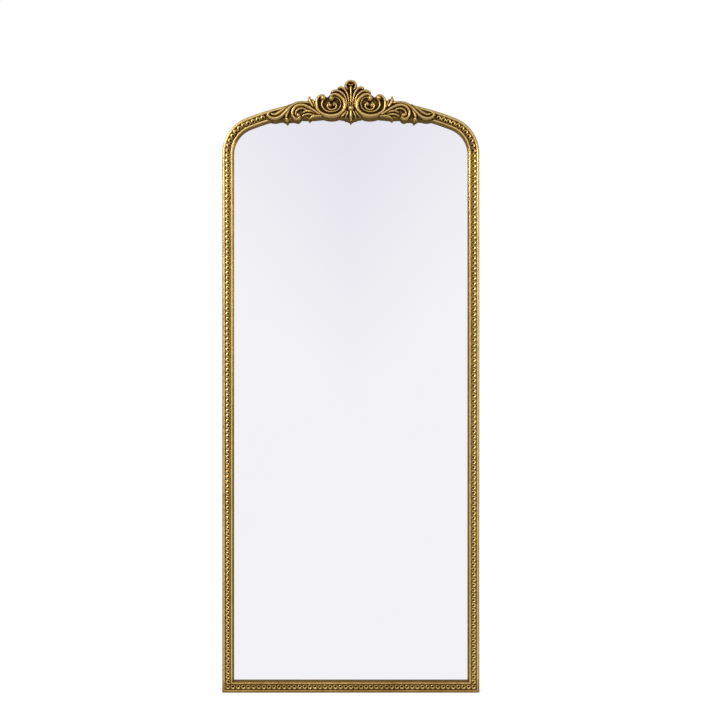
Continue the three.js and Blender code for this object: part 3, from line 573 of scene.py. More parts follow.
def ground_inside(x, z):
    """How far each point lies within the ground's outline: its distance to the nearest edge, with
    the sign set by how many edges lie to the right of it."""
    points = np.array(GROUND, float)
    start, end = points[:-1], points[1:]
    edge = end - start
    offset = np.stack([x, z], axis=-1)[..., None, :] - start
    share = np.clip((offset * edge).sum(axis=-1) / (edge**2).sum(axis=-1), 0, 1)
    distance = np.linalg.norm(offset - share[..., None] * edge, axis=-1).min(axis=-1)
    straddles = (start[:, 1] > z[..., None]) != (end[:, 1] > z[..., None])
    crossing = start[:, 0] + (z[..., None] - start[:, 1]) / edge[:, 1] * edge[:, 0]
    within = (straddles & (crossing > x[..., None])).sum(axis=-1) % 2 == 1
    return np.where(within, distance, -distance)


def both_halves(field):
    """A grid of the right half with its mirror image before it, the middle line only once."""
    return np.vstack([field[:0:-1], field])


def crest_relief(cell):
    """The crest's right half as a grid of depths, mirrored to the left, with how far each point
    lies inside the outline and how hollow it is.

    Hollow grows with how far a point lies below the mean level near it, at a fine and at a broad
    reach, and with its depth below the crowns, which adds painted shade.
    """
    edge_rounding, fine_reach, broad_reach, crown_level = 4, 2, 6, 42
    even, fine_depth, broad_depth, low_depth = 0.31, 3, 9, 10
    depth_shade_share = 0.21
    x_axis = np.arange(0, CREST_HALF_WIDTH / MM + RELIEF_MARGIN, cell)
    z_axis = np.arange(RELIEF_FOOT, RELIEF_HEAD, cell)
    x, z = np.meshgrid(x_axis, z_axis, indexing="ij")
    inside = ground_inside(x, z)
    dome = np.sqrt(np.clip(1 - (1 - np.clip(inside / edge_rounding, 0, 1)) ** 2, 0, 1))
    relief = GROUND_EDGE + (GROUND_TOP - GROUND_EDGE) * dome
    for ridge in STROKES:
        carve_ridge(x, z, relief, inside, ridge)
    for ball in BALLS:
        carve_ball(x, z, relief, inside, ball)
    relief, inside, z = both_halves(relief), both_halves(inside), both_halves(z)
    x = np.vstack([-x[:0:-1], x])
    fine = blurred(relief, int(fine_reach / cell)) - relief
    broad = blurred(relief, int(broad_reach / cell)) - relief
    # Painted shade: the further a point lies below the crowns, the more umber.
    low = (crown_level - relief) / low_depth
    hollow = np.clip(even + fine / fine_depth + broad / broad_depth + depth_shade_share * low, 0, 1)
    return x, z, relief, inside, hollow


def rim_edges(corners, keep):
    """The sides of the kept cells that no other kept cell shares, as pairs of points."""
    padded = np.pad(keep, 1)
    rows, columns = keep.shape
    rims = []
    # For each side: where the neighbour lies in the padded grid, and the side's two corners.
    for down, across, first, second in ((1, 0, 0, 1), (2, 1, 1, 2), (1, 2, 2, 3), (0, 1, 3, 0)):
        beyond = padded[down:down + rows, across:across + columns]
        rims.append(corners[keep & ~beyond][:, [first, second]])
    return np.vstack(rims)


def settled_rim(x, z, inside, edge, cell):
    """The grid's X and Z with the rim's points moved onto the outline, each by a cell at most."""
    least_slope = 0.2
    gradient = np.stack(np.gradient(inside, cell), axis=-1).reshape(-1, 2)[edge]
    move = -inside.ravel()[edge] / np.maximum((gradient**2).sum(axis=-1), least_slope)
    flat_x, flat_z = x.ravel().copy(), z.ravel().copy()
    flat_x[edge] += np.clip(move * gradient[:, 0], -cell, cell)
    flat_z[edge] += np.clip(move * gradient[:, 1], -cell, cell)
    return flat_x, flat_z


def add_crest(settings):
    """The crest as one casting: the relief in front, walls round its outline and a flat back, with
    room cut behind it for the arch rail that it sits over."""
    cell = settings.relief_cell / MM
    overhang = 0.6 * cell
    x, z, relief, inside, hollow = crest_relief(cell)
    corners = cell_corners(np.arange(x.size).reshape(x.shape))
    keep = inside.ravel()[corners].min(axis=-1) > -overhang
    front = corners[keep]
    rim = rim_edges(corners, keep)
    edge = np.unique(rim)
    flat_x, flat_z = settled_rim(x, z, inside, edge, cell)
    depth = relief.ravel().copy()
    depth[edge] = GROUND_EDGE
    top = np.stack([flat_x, -depth, flat_z], axis=-1)
    back = top[edge] * (1, 0, 1) - (0, CREST_BACK, 0)
    to_back = np.full(x.size, -1)
    to_back[edge] = x.size + np.arange(len(edge))
    walls = np.stack([rim[:, 0], rim[:, 1], to_back[rim[:, 1]], to_back[rim[:, 0]]], axis=-1)
    points = np.vstack([top, back])
    used = np.unique(np.concatenate([front.ravel(), walls.ravel()]))
    renumber = np.full(len(points), -1)
    renumber[used] = np.arange(len(used))
    points = points[used] * MM + (0, SEAT_Y, ARCH_TOP - CREST_DROP)
    materials = [gilt_crest(), black_paint(), dull_gilding()]
    crest = build_piece("gilt_crest", points, [renumber[front], renumber[walls]], materials)
    close_back(crest.data)
    cut_saddle(crest)
    gild_crest(crest.data, x, z, hollow, cell)
    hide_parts("crest")


def gild_crest(mesh, x, z, hollow, cell):
    """Takes each point's hollow from the grid, and paints the back black and the walls dull, partly as
    painted shade.
    """
    wall_facing, rounded_edge, sharp_degrees = 0.3, 1, 55
    points = read_rows(mesh.vertices, "co")
    column = np.rint((points[:, 0] / MM - x[0, 0]) / cell).astype(int)
    row = np.rint(((points[:, 2] - ARCH_TOP + CREST_DROP) / MM - z[0, 0]) / cell).astype(int)
    last_column, last_row = np.array(x.shape) - 1
    write_hollow(mesh, hollow[np.clip(column, 0, last_column), np.clip(row, 0, last_row)])
    backward = read_rows(mesh.polygons, "normal")[:, 1]
    depth = (SEAT_Y - read_rows(mesh.polygons, "center")[:, 1]) / MM
    walls = (np.abs(backward) < wall_facing) & (depth < GROUND_EDGE - rounded_edge)
    # The walls' dark, dull gilding is partly the casting's dull edge and partly painted shade.
    paint_faces(mesh, np.select([backward > REAR_FACING, walls], [1, 2]))
    mesh.shade_smooth()
    mesh.set_sharp_from_angle(angle=np.radians(sharp_degrees))


def close_back(mesh):
    """Closes the open rear of the walls with one flat face, and turns all faces outwards."""
    work = bmesh.new()
    work.from_mesh(mesh)
    bmesh.ops.holes_fill(work, edges=[edge for edge in work.edges if edge.is_boundary], sides=0)
    bmesh.ops.recalc_face_normals(work, faces=work.faces)
    work.to_mesh(mesh)
    work.free()


def cut_saddle(crest):
    """Takes the room of the arch rail out of the crest."""
    span = np.radians([90 - SADDLE_HALF_SPAN, 90 + SADDLE_HALF_SPAN])
    run = arc((0, ARCH_Z), ARCH_RADIUS, *span, ARCH_STEPS)
    points = sweep(run, np.array(SADDLE_CORNERS) * MM)
    saddle = build_piece("saddle_cutter", points, tube_faces(*points.shape[:2]), [])
    cutter = crest.modifiers.new("saddle", "BOOLEAN")
    cutter.operation = "DIFFERENCE"
    cutter.solver = "MANIFOLD"
    cutter.object = saddle
    evaluated = crest.evaluated_get(bpy.context.evaluated_depsgraph_get())
    materials = list(crest.data.materials)
    finished = bpy.data.meshes.new_from_object(evaluated)
    finished.materials.clear()
    for material in materials:
        finished.materials.append(material)
    crest.modifiers.clear()
    crest.data = finished
    bpy.data.objects.remove(saddle)


# ---- the boards, screws, hangers and bumpers
def add_rear_cover():
    """The rear cover: the frame's outline drawn in, with its front and rear edges eased."""
    edge = [(5.9, -0.3), (5.3, -0.45), (5, -0.8), (5, -2.8), (5.3, -3.15), (5.9, -3.3)]
    points = sweep(whole_outline(), np.array(edge) * MM)
    rows, columns = points.shape[:2]
    index = np.arange(rows * columns).reshape(rows, columns)
    faces = [grid_faces(rows, columns, wrap_rows=True), index[:, 0][None], index[:, -1][None]]
    cover = build_piece("painted_rear_cover", points, faces, [black_paint()])
    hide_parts("rear_cover")


def screw_shape(radius, head_height, shank, length):
    """A screw on the Y axis with its head's rim at y = 0 and its point forward, in millimetres.

    The head is a low dome whose rings sink by a cross: the depth falls off with the distance from
    the nearer of the two slots. Below the head, rings of even depth give the shank and the point.
    """
    sides, dome_height, rim_drop = 24, 0.35, 0.35
    recess_depth, slot_half_width, slot_slope, recess_reach = 1.1, 0.22, 0.12, 0.62
    shares = np.array([0.03, 0.15, 0.3, 0.45, 0.6, 0.8, 0.95, 1.0])[:, None]
    angles = turn_angles(sides)
    x = radius * shares * np.cos(angles)
    z = radius * shares * np.sin(angles)
    off_slot = np.minimum(np.abs(x), np.abs(z)) / radius
    recess = np.clip((slot_half_width - off_slot) / slot_slope, 0, 1) * (shares < recess_reach)
    head = np.stack([x, recess_depth * recess - dome_height * (1 - shares**2), z], axis=-1)
    below = [
        (0.97 * radius, rim_drop),
        (shank, head_height),
        (shank, length - 2 * shank),
        (0.1, length),
    ]
    ring_radius, depth = np.array(below).T[..., None]
    stem_x, stem_z = ring_radius * np.cos(angles), ring_radius * np.sin(angles)
    stem = np.stack([stem_x, np.broadcast_to(depth, stem_x.shape), stem_z], axis=-1)
    return np.concatenate([head, stem])


# Each kind's head radius, head height, shank radius and length.
SCREW_KINDS = {
    "cover_screw": (3.4, 1.8, 1.5, 15.8),
    "crest_screw": (4, 2.5, 1.9, 38.8),
    "strap_screw": (3.2, 1.6, 1.5, 19.8),
}
WIRE_SIDES = 16


def add_screws():
    """Every screw: its head's top and its middle come from the box of the plain screw it replaces."""
    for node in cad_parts:
        kinds = [kind for kind in SCREW_KINDS if kind in node]
        if not kinds:
            continue
        low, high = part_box(node)
        shape = screw_shape(*SCREW_KINDS[kinds[0]]) * MM
        middle = np.array([(low.x + high.x) / 2, high.y, (low.z + high.z) / 2])
        points = shape * (1, -1, 1) + middle
        piece = build_piece(f"zinc_{node}", points, tube_faces(*shape.shape[:2]), [zinc_steel()])
        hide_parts(node)


def wire_loop(path, radius, sides):
    """A round wire along a closed path in X and Z: a circle carried round it, square to the path."""
    ahead = np.roll(path, -1, axis=0) - np.roll(path, 1, axis=0)
    ahead /= np.linalg.norm(ahead, axis=1, keepdims=True)
    across = np.stack([-ahead[:, 1], ahead[:, 0]], axis=-1)
    angles = turn_angles(sides)
    x = path[:, :1] + radius * across[:, :1] * np.cos(angles)
    z = path[:, 1:] + radius * across[:, 1:] * np.cos(angles)
    y = np.broadcast_to(radius * np.sin(angles), x.shape)
    return np.stack([x, y, z], axis=-1)


def add_hangers(settings):
    """Two D-rings of bent wire, each held by a steel strap that is rolled round its straight side."""
    for word, side in SIDES.items():
        ring_low, ring_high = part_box(f"{word}_hanger_ring")
        axis_y = (ring_low.y + ring_high.y) / 2
        axis_x = side * (HALF_WIDTH - HANGER_INSET)
        centre = np.array([axis_x, axis_y, ring_high.z - settings.wire_radius])
        ring = wire_loop(ring_path(), settings.wire_radius / MM, WIRE_SIDES) * MM + centre
        faces = tube_faces(*ring.shape[:2], wrap_rings=True)
        piece = build_piece(
            f"zinc_{word}_hanger_ring", ring, faces, [zinc_steel()],
            body=f"{word}_ring", sharp_degrees=180,
        )
        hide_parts(f"{word}_hanger_ring")
        strap = strap_surface(settings) * MM + centre
        faces = tube_faces(*strap.shape[:2])
        piece = build_piece(f"zinc_{word}_hanger_strap", strap, faces, [zinc_steel()])
        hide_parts(f"{word}_hanger_strap")


def ring_path():
    """The D of the hanger ring in millimetres, from its straight side down round the bow."""
    half_width, corner, drop, spacing, bar_points = 10.2, 2.9, 18.0, 0.6, 12
    bar_end = half_width - corner
    bow = [
        (bar_end, 0),
        (half_width - 0.6, 0.6 - corner),
        (half_width, -2 * corner),
        (0.72 * half_width, 4.2 - drop),
        (0, -drop),
    ]
    right = smooth_line(np.array(bow, float), spacing)
    left = right[-2::-1] * (-1, 1)
    bar_x = np.linspace(-bar_end, bar_end, bar_points)[1:-1]
    return np.vstack([right, left, np.stack([bar_x, np.zeros(len(bar_x))], axis=-1)])


def strap_surface(settings):
    """The strap as rings along its middle line: up the cover, then round the ring's straight side.

    Each ring is a rounded oblong, half its width to each side and half its thickness in and out.
    The width follows a half circle at the foot.
    """
    sides, foot_steps, roll_steps = 20, 10, 40
    foot_fullness, wide_power, deep_power = 0.995, 0.25, 0.5
    roll_angle, clearance, bend_start, foot_start = 1.78 * np.pi, 0.3, -6, 0.12
    thick = settings.strap_thickness / MM
    half_width = settings.strap_width / MM / 2
    roll = settings.wire_radius / MM + clearance + thick / 2
    foot = -settings.strap_length / MM
    foot_angles = np.linspace(foot_start, np.pi / 2, foot_steps)
    rise = np.concatenate([foot + half_width * (1 - np.cos(foot_angles)), [bend_start, 0]])
    up = np.stack([np.full(len(rise), -roll), rise], axis=-1)
    angles = np.pi - np.linspace(0, roll_angle, roll_steps)[1:]
    around = np.stack([roll * np.cos(angles), roll * np.sin(angles)], axis=-1)
    line = np.vstack([up, around])
    ahead = np.gradient(line, axis=0)
    ahead /= np.linalg.norm(ahead, axis=1, keepdims=True)
    normal = np.stack([ahead[:, 1], -ahead[:, 0]], axis=-1)
    below = np.clip((foot + half_width - line[:, 1]) / half_width, 0, 1)
    below[len(up):] = 0
    width = half_width * np.sqrt(1 - below**2 * foot_fullness)
    angle = turn_angles(sides, start=0.5)
    wide = np.sign(np.cos(angle)) * np.abs(np.cos(angle)) ** wide_power
    deep = np.sign(np.sin(angle)) * np.abs(np.sin(angle)) ** deep_power
    x = width[:, None] * wide
    y = line[:, :1] + normal[:, :1] * deep * thick / 2
    z = line[:, 1:] + normal[:, 1:] * deep * thick / 2
    return np.stack([x, y, z], axis=-1)


def add_bumpers():
    """Four domed rubber bumpers, turned round the Y axis on the cover."""
    dome = [(7.7, 0), (8, 0.4), (8, 2.6), (7.7, 3.7), (6.9, 4.5), (5.6, 4.9), (3.5, 5), (0.2, 5)]
    radius, height = np.array(dome).T[..., None] * MM
    sides = 36
    angles = turn_angles(sides)
    for place in ("left_upper", "right_upper", "left_lower", "right_lower"):
        node = f"{place}_bumper"
        low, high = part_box(node)
        x = (low.x + high.x) / 2 + radius * np.cos(angles)
        z = (low.z + high.z) / 2 + radius * np.sin(angles)
        y = low.y + np.broadcast_to(height, x.shape)
        points = np.stack([x, y, z], axis=-1)
        piece = build_piece(f"rubber_{node}", points, tube_faces(*points.shape[:2]), [black_rubber()])
        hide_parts(node)


# ---- shader building blocks
def add_node(tree, kind, **values):
    """Adds a node and sets its options."""
    made = tree.nodes.new(kind)
    for name, value in values.items():
        setattr(made, name, value)
    return made


def feed(tree, socket, value):
    """Joins a socket to another node's output, or sets its value."""
    if isinstance(value, bpy.types.NodeSocket):
        tree.links.new(value, socket)
    else:
        socket.default_value = value


def fill(tree, made, **inputs):
    """Feeds a node's inputs by name, with _ for a space."""
    for name, value in inputs.items():
        feed(tree, made.inputs[name.replace("_", " ")], value)
    return made


def noise(tree, place, scale, detail=3.0, roughness=0.55):
    """A noise pattern over a place, as a value from 0 to 1."""
    made = fill(tree, add_node(tree, "ShaderNodeTexNoise"), Vector=place, Scale=scale)
    fill(tree, made, Detail=detail, Roughness=roughness)
    return made.outputs[0]


def maths(tree, operation, first, second=0.0, third=0.0):
    """One step of arithmetic, whose terms are numbers or other nodes' outputs."""
    made = add_node(tree, "ShaderNodeMath", operation=operation)
    for socket, value in zip(made.inputs, (first, second, third)):
        feed(tree, socket, value)
    return made.outputs[0]


def between(tree, value, low, high, to_low=0.0, to_high=1.0):
    """A value taken smoothly from one range to another."""
    made = add_node(tree, "ShaderNodeMapRange", interpolation_type="SMOOTHSTEP")
    ranges = {"Value": value, "From_Min": low, "From_Max": high, "To_Min": to_low, "To_Max": to_high}
    return fill(tree, made, **ranges).outputs[0]


def blend_colours(tree, factor, first, second):
    """A colour between two others."""
    made = add_node(tree, "ShaderNodeMix", data_type="RGBA")
    for index, value in ((0, factor), (6, first), (7, second)):
        feed(tree, made.inputs[index], value)
    return made.outputs[2]


def separated(tree, vector):
    """A vector's X, Y and Z as outputs by name."""
    return fill(tree, add_node(tree, "ShaderNodeSeparateXYZ"), Vector=vector).outputs


def mix_shaders(tree, factor, first, second):
    """The first shader where the factor is 0, and the second where it is 1."""
    made = add_node(tree, "ShaderNodeMixShader")
    for socket, value in zip(made.inputs, (factor, first, second)):
        feed(tree, socket, value)
    return made.outputs[0]


def ray_kinds(tree):
    """Whether a ray comes from the camera, and whether metal or glass sent it on."""
    path = add_node(tree, "ShaderNodeLightPath").outputs
    glossy = maths(tree, "MAXIMUM", path["Is Glossy Ray"], path["Is Transmission Ray"])
    return path["Is Camera Ray"], glossy


def start_group(name, inputs, outputs):
    """A new shader group with its named sockets. Returns the group and its two end nodes."""
    group = bpy.data.node_groups.new(name, "ShaderNodeTree")
    for label, kind, default in inputs:
        socket = group.interface.new_socket(label, in_out="INPUT", socket_type=kind)
        socket.default_value = default
    for label, kind in outputs:
        group.interface.new_socket(label, in_out="OUTPUT", socket_type=kind)
    return group, add_node(group, "NodeGroupInput"), add_node(group, "NodeGroupOutput")


def aged_gilding():
    """Gold over umber: the umber lies in hollows and in blotches as toning, and as painted shade near
    the floor, on the rails' inner slopes and deep in the crest; proud places are rubbed bright.
    """
    if "aged_gilding" in bpy.data.node_groups:
        return bpy.data.node_groups["aged_gilding"]
    grey = (0.5, 0.5, 0.5, 1)
    inputs = [
        ("Hollow", "NodeSocketFloat", 0.0),
        ("Umber", "NodeSocketColor", grey),
        ("Gold", "NodeSocketColor", grey),
        ("Leaf", "NodeSocketColor", grey),
        ("Toning", "NodeSocketFloat", 1.0),
    ]
    outputs = [
        ("Colour", "NodeSocketColor"),
        ("Roughness", "NodeSocketFloat"),
        ("Metallic", "NodeSocketFloat"),
        ("Height", "NodeSocketFloat"),
    ]
    tree, given, result = start_group("aged_gilding", inputs, outputs)
    place = add_node(tree, "ShaderNodeTexCoord").outputs["Object"]
    hollow, umber_strength = given.outputs["Hollow"], given.outputs["Toning"]
    blotch = noise(tree, place, 14.0, 2.0)
    brushed = noise(tree, place, 160.0, 4.0, 0.65)
    grain = noise(tree, place, 900.0, 2.0)
    # Painted shade: up to 0.24 more umber within 5 cm of the floor.
    painted_floor_shade = between(tree, separated(tree, place)["Z"], 0.05, 0.0, 0.0, 0.24)
    lifted = maths(tree, "MULTIPLY_ADD", brushed, 0.5, maths(tree, "MULTIPLY_ADD", blotch, 0.3, -0.4))
    # Umber amount: toning in hollows and blotches, plus painted shade near the floor, on inner slopes
    # and deep in the crest.
    toning_and_shade = maths(tree, "ADD", maths(tree, "ADD", hollow, lifted), painted_floor_shade)
    shade = maths(tree, "MULTIPLY", between(tree, toning_and_shade, 0.12, 0.86), umber_strength)
    rubbed = between(tree, toning_and_shade, 0.3, -0.05)
    toned = blend_colours(tree, shade, given.outputs["Gold"], given.outputs["Umber"])
    colour = blend_colours(tree, rubbed, toned, given.outputs["Leaf"])
    rough = maths(tree, "MULTIPLY_ADD", shade, 0.25, maths(tree, "MULTIPLY_ADD", brushed, 0.16, 0.26))
    height = maths(tree, "MULTIPLY_ADD", grain, 0.25, brushed)
    metallic = maths(tree, "MULTIPLY_ADD", shade, -0.3, 0.92)
    fill(tree, result, Colour=colour, Roughness=rough, Metallic=metallic, Height=height)
    return tree


def surface_grain():
    """Fine uneven marks, stretched along one way, as a mask and a height."""
    if "surface_grain" in bpy.data.node_groups:
        return bpy.data.node_groups["surface_grain"]
    inputs = [
        ("Scale", "NodeSocketFloat", 200.0),
        ("Stretch", "NodeSocketVector", (1.0, 1.0, 1.0)),
    ]
    outputs = [("Mask", "NodeSocketFloat"), ("Height", "NodeSocketFloat")]
    tree, given, result = start_group("surface_grain", inputs, outputs)
    place = add_node(tree, "ShaderNodeTexCoord").outputs["Object"]
    stretched = add_node(tree, "ShaderNodeVectorMath", operation="MULTIPLY")
    tree.links.new(place, stretched.inputs[0])
    tree.links.new(given.outputs["Stretch"], stretched.inputs[1])
    coarse = noise(tree, stretched.outputs[0], given.outputs["Scale"], 4.0)
    finer_scale = maths(tree, "MULTIPLY", given.outputs["Scale"], 5.0)
    finer = noise(tree, stretched.outputs[0], finer_scale, 3.0)
    height = maths(tree, "MULTIPLY_ADD", finer, 0.4, coarse)
    fill(tree, result, Mask=between(tree, coarse, 0.3, 0.7), Height=height)
    return tree


def start_material(name):
    """A new material with its Principled shader."""
    material = bpy.data.materials.new(name)
    material.use_nodes = True
    return material, material.node_tree, material.node_tree.nodes["Principled BSDF"]


def put_group(tree, group):
    """Places a shader group in a material."""
    made = add_node(tree, "ShaderNodeGroup")
    made.node_tree = group
    return made


def bump(tree, shader, height, distance, strength=1.0):
    """Feeds a height through a Bump node to the shader's normal."""
    made = fill(tree, add_node(tree, "ShaderNodeBump"), Height=height, Distance=distance)
    fill(tree, made, Strength=strength)
    fill(tree, shader, Normal=made.outputs[0])


# ---- the finishes
def gilding(name, umber_strength, depth):
    """Antique gilding. It reads how hollow the surface is from the piece's own attribute."""
    if name in bpy.data.materials:
        return bpy.data.materials[name]
    colours = bpy.context.scene.mirror_gilding
    material, tree, shader = start_material(name)
    group = put_group(tree, aged_gilding())
    hollow = add_node(tree, "ShaderNodeAttribute", attribute_name="hollow").outputs["Fac"]
    fill(tree, group, Hollow=hollow, Toning=umber_strength)
    fill(tree, group, Umber=colours.umber, Gold=colours.gold, Leaf=colours.leaf)
    given = group.outputs
    fill(tree, shader, Base_Color=given["Colour"], Roughness=given["Roughness"])
    fill(tree, shader, Metallic=given["Metallic"], Coat_Weight=0.06, Coat_Roughness=0.2)
    fill(tree, shader, Specular_IOR_Level=0.3, Specular_Tint=(1, 0.82, 0.5, 1))
    bump(tree, shader, group.outputs["Height"], depth)
    return material


def gilt_moulding():
    return gilding("aged_gilt_moulding", 0.9, 0.00025)


def gilt_beads():
    return gilding("aged_gilt_beads", 1.0, 0.0002)


def gilt_crest():
    return gilding("aged_gilt_crest", 1.0, 0.0003)


def grained(name, light, dark, roughness, scale, stretch, depth, metallic=0.0, specular=0.5):
    """A finish of two near colours under uneven marks."""
    if name in bpy.data.materials:
        return bpy.data.materials[name]
    material, tree, shader = start_material(name)
    group = fill(tree, put_group(tree, surface_grain()), Scale=scale, Stretch=stretch)
    mask = group.outputs["Mask"]
    rough = between(tree, mask, 0.0, 1.0, roughness[0], roughness[1])
    colour = blend_colours(tree, mask, (*light, 1), (*dark, 1))
    fill(tree, shader, Base_Color=colour, Roughness=rough, Metallic=metallic)
    fill(tree, shader, Specular_IOR_Level=specular)
    bump(tree, shader, group.outputs["Height"], depth)
    return material


def black_paint():
    light, dark = (0.02, 0.019, 0.018), (0.035, 0.032, 0.029)
    return grained("black_paint", light, dark, (0.55, 0.8), 220.0, (1, 1, 0.35), 0.0002)


# Dark, dull gilding for the crest's walls: partly the casting's dull edge, partly painted shade.
def dull_gilding():
    light, dark = (0.25, 0.145, 0.036), (0.14, 0.078, 0.018)
    return grained("dull_gilding", light, dark, (0.8, 0.95), 300.0, (1, 1, 1), 0.0002, specular=0.03)


def zinc_steel():
    light, dark = (0.62, 0.62, 0.6), (0.48, 0.48, 0.47)
    return grained("zinc_steel", light, dark, (0.24, 0.42), 500.0, (1, 1, 1), 0.00004, 1.0)


def black_rubber():
    light, dark = (0.018, 0.018, 0.018), (0.028, 0.028, 0.028)
    return grained("black_rubber", light, dark, (0.75, 0.95), 900.0, (1, 1, 1), 0.0001)


def bare_board():
    light, dark = (0.42, 0.29, 0.17), (0.3, 0.2, 0.11)
    return grained("bare_board", light, dark, (0.8, 0.95), 260.0, (1, 1, 1), 0.0002)


def brown_card():
    light, dark = (0.47, 0.33, 0.19), (0.4, 0.27, 0.15)
    return grained("brown_card", light, dark, (0.85, 0.97), 60.0, (8, 1, 1), 0.0002)


def beech():
    light, dark = (0.6, 0.42, 0.23), (0.5, 0.33, 0.17)
    return grained("beech", light, dark, (0.55, 0.7), 150.0, (1, 1, 0.1), 0.0001)


def silvered_glass():
    """Float glass with silver behind it: a mirror whose gloss and flatness waver very slightly."""
    if "silvered_glass" in bpy.data.materials:
        return bpy.data.materials["silvered_glass"]
    material, tree, shader = start_material("silvered_glass")
    place = add_node(tree, "ShaderNodeTexCoord").outputs["Object"]
    haze = noise(tree, place, 3.0, 2.0)
    rough = between(tree, haze, 0.3, 0.7, 0.012, 0.03)
    tint = blend_colours(tree, haze, (0.965, 0.965, 0.97, 1), (0.95, 0.95, 0.96, 1))
    fill(tree, shader, Base_Color=tint, Roughness=rough, Metallic=1.0)
    bump(tree, shader, noise(tree, place, 1.6, 0.0), 0.0002, 0.5)
    return material


# ---- settings
def length_setting(name, description, default):
    """A length in the sidebar, in metres."""
    return FloatProperty(name=name, description=description, subtype="DISTANCE", default=default)


def power_setting(name, description, default):
    """A lamp's power in the sidebar, in watts."""
    return FloatProperty(name=name, description=description, subtype="POWER", default=default)


def colour_setting(name, description, default):
    """A colour in the sidebar, with its alpha."""
    return FloatVectorProperty(
        name=name, description=description, subtype="COLOR", size=4, default=default
    )


class MirrorGilding(PropertyGroup):
    """The colours of the gilding."""

    # The umber is toning in the hollows and also painted shade near the floor, on the rails' inner
    # slopes and deep in the crest.
    umber: colour_setting("Umber", "Toning left in the hollows", (0.035, 0.013, 0.002, 1))
    gold: colour_setting("Gold", "Main colour of the gilding", (0.42, 0.25, 0.055, 1))
    leaf: colour_setting("Leaf", "Gold on proud places that are rubbed bright", (0.8, 0.59, 0.225, 1))


class MirrorBeads(PropertyGroup):
    """The sizes of the bead courses."""

    bead_pitch: length_setting("Pitch", "Distance from bead to bead", 14.2 * MM)
    bead_radius: length_setting("Radius", "Radius of a bead at its foot", 6.95 * MM)
    bead_height: length_setting("Height", "Height of a bead above its strip", 4.4 * MM)
    bead_offset: length_setting("Pit offset", "How far the pit lies towards the glass", 1.7 * MM)


class MirrorCrest(PropertyGroup):
    """How finely the crest is carved."""

    relief_cell: length_setting("Cell", "Spacing of the points of the relief", 0.7 * MM)


class MirrorFittings(PropertyGroup):
    """The sizes of the hangers."""

    wire_radius: length_setting("Wire radius", "Radius of the ring's wire", 1.3 * MM)
    strap_width: length_setting("Strap width", "Width of the hanger's strap", 13 * MM)
    strap_thickness: length_setting("Strap thickness", "Thickness of the strap's steel", 1.7 * MM)
    strap_length: length_setting("Strap length", "Length of the strap below the ring", 46 * MM)


class MirrorStage(PropertyGroup):
    """The view and the light."""

    camera_height: length_setting("Camera height", "Height of the lens above the floor", 0.85)
    camera_distance: length_setting("Camera distance", "From the lens to the front of the frame", 3.0)
    key_power: power_setting("Key light", "Power of the lamp at the left", 52.0)
    fill_power: power_setting("Fill light", "Power of the lamp at the right", 9.0)


# ---- the stage
# The photograph is square. Its scale and the frame's foot in it set the camera.
PHOTO_SIZE_PX = 720
PHOTO_SCALE = 2.7745 * MM
FRAME_MIDDLE_PX = 350.8
FRAME_FOOT_PX = 692.9
SENSOR = 36.0


def add_camera(settings):
    """The camera looks along +Y, square to the glass. Its shift puts the frame where it is seen."""
    view_width = PHOTO_SIZE_PX * PHOTO_SCALE
    data = bpy.data.cameras.new("front_camera")
    data.sensor_width = SENSOR
    data.lens = SENSOR * settings.camera_distance / view_width
    half_px = PHOTO_SIZE_PX / 2
    data.shift_x = (half_px - FRAME_MIDDLE_PX) * PHOTO_SCALE / view_width
    data.shift_y = ((FRAME_FOOT_PX - half_px) * PHOTO_SCALE - settings.camera_height) / view_width
    camera = add_object("front_camera", data)
    front_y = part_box("arch_rail")[0].y
    camera.location = (0, front_y - settings.camera_distance, settings.camera_height)
    camera.rotation_euler = (np.radians(90), 0, 0)
    bpy.context.scene.camera = camera


def add_lamp(name, place, target, size, power, colour):
    """A soft square lamp that faces a target."""
    data = bpy.data.lights.new(name, "AREA")
    data.size = size
    data.energy = power
    data.color = colour
    lamp = add_object(name, data)
    lamp.location = place
    lamp.rotation_euler = (Vector(target) - Vector(place)).to_track_quat("-Z", "Y").to_euler()


def room_colour():
    """What metal and glass see along a direction. It is pale in front of the glass, where it darkens
    upwards in nested Vs, and dim to the sides, above and below."""
    if "room_colour" in bpy.data.node_groups:
        return bpy.data.node_groups["room_colour"]
    inputs = [("Direction", "NodeSocketVector", (0.0, 0.0, 0.0))]
    tree, given, result = start_group("room_colour", inputs, [("Colour", "NodeSocketColor")])
    way = separated(tree, given.outputs["Direction"])
    aside = maths(tree, "ABSOLUTE", way["X"])
    overhead = maths(tree, "MULTIPLY_ADD", aside, -1.1, way["Z"])
    ahead = maths(tree, "MULTIPLY", way["Y"], -1.0)
    low, high = (0.933, 0.93, 0.95, 1), (0.787, 0.769, 0.86, 1)
    pale = blend_colours(tree, between(tree, overhead, -0.05, 0.33), low, high)
    low, high = (0.27, 0.26, 0.245, 1), (0.4, 0.38, 0.35, 1)
    dim = blend_colours(tree, between(tree, way["Z"], -0.4, 0.6), low, high)
    colour = blend_colours(tree, between(tree, ahead, 0.5, 0.93), dim, pale)
    fill(tree, result, Colour=colour)
    return tree


def add_world():
    """White where the camera looks past the object, the room for metal and glass, and an even grey
    for all other light."""
    world = bpy.data.worlds.new("pale_room")
    world.use_nodes = True
    bpy.context.scene.world = world
    tree = world.node_tree
    tree.nodes.clear()
    direction = add_node(tree, "ShaderNodeTexCoord").outputs["Generated"]
    room = fill(tree, put_group(tree, room_colour()), Direction=direction)
    camera, glossy = ray_kinds(tree)
    seen = blend_colours(tree, glossy, (0.62, 0.62, 0.62, 1), room.outputs["Colour"])
    colour = blend_colours(tree, camera, seen, (1, 1, 1, 1))
    background = fill(tree, add_node(tree, "ShaderNodeBackground"), Color=colour, Strength=1.0)
    fill(tree, add_node(tree, "ShaderNodeOutputWorld"), Surface=background.outputs[0])


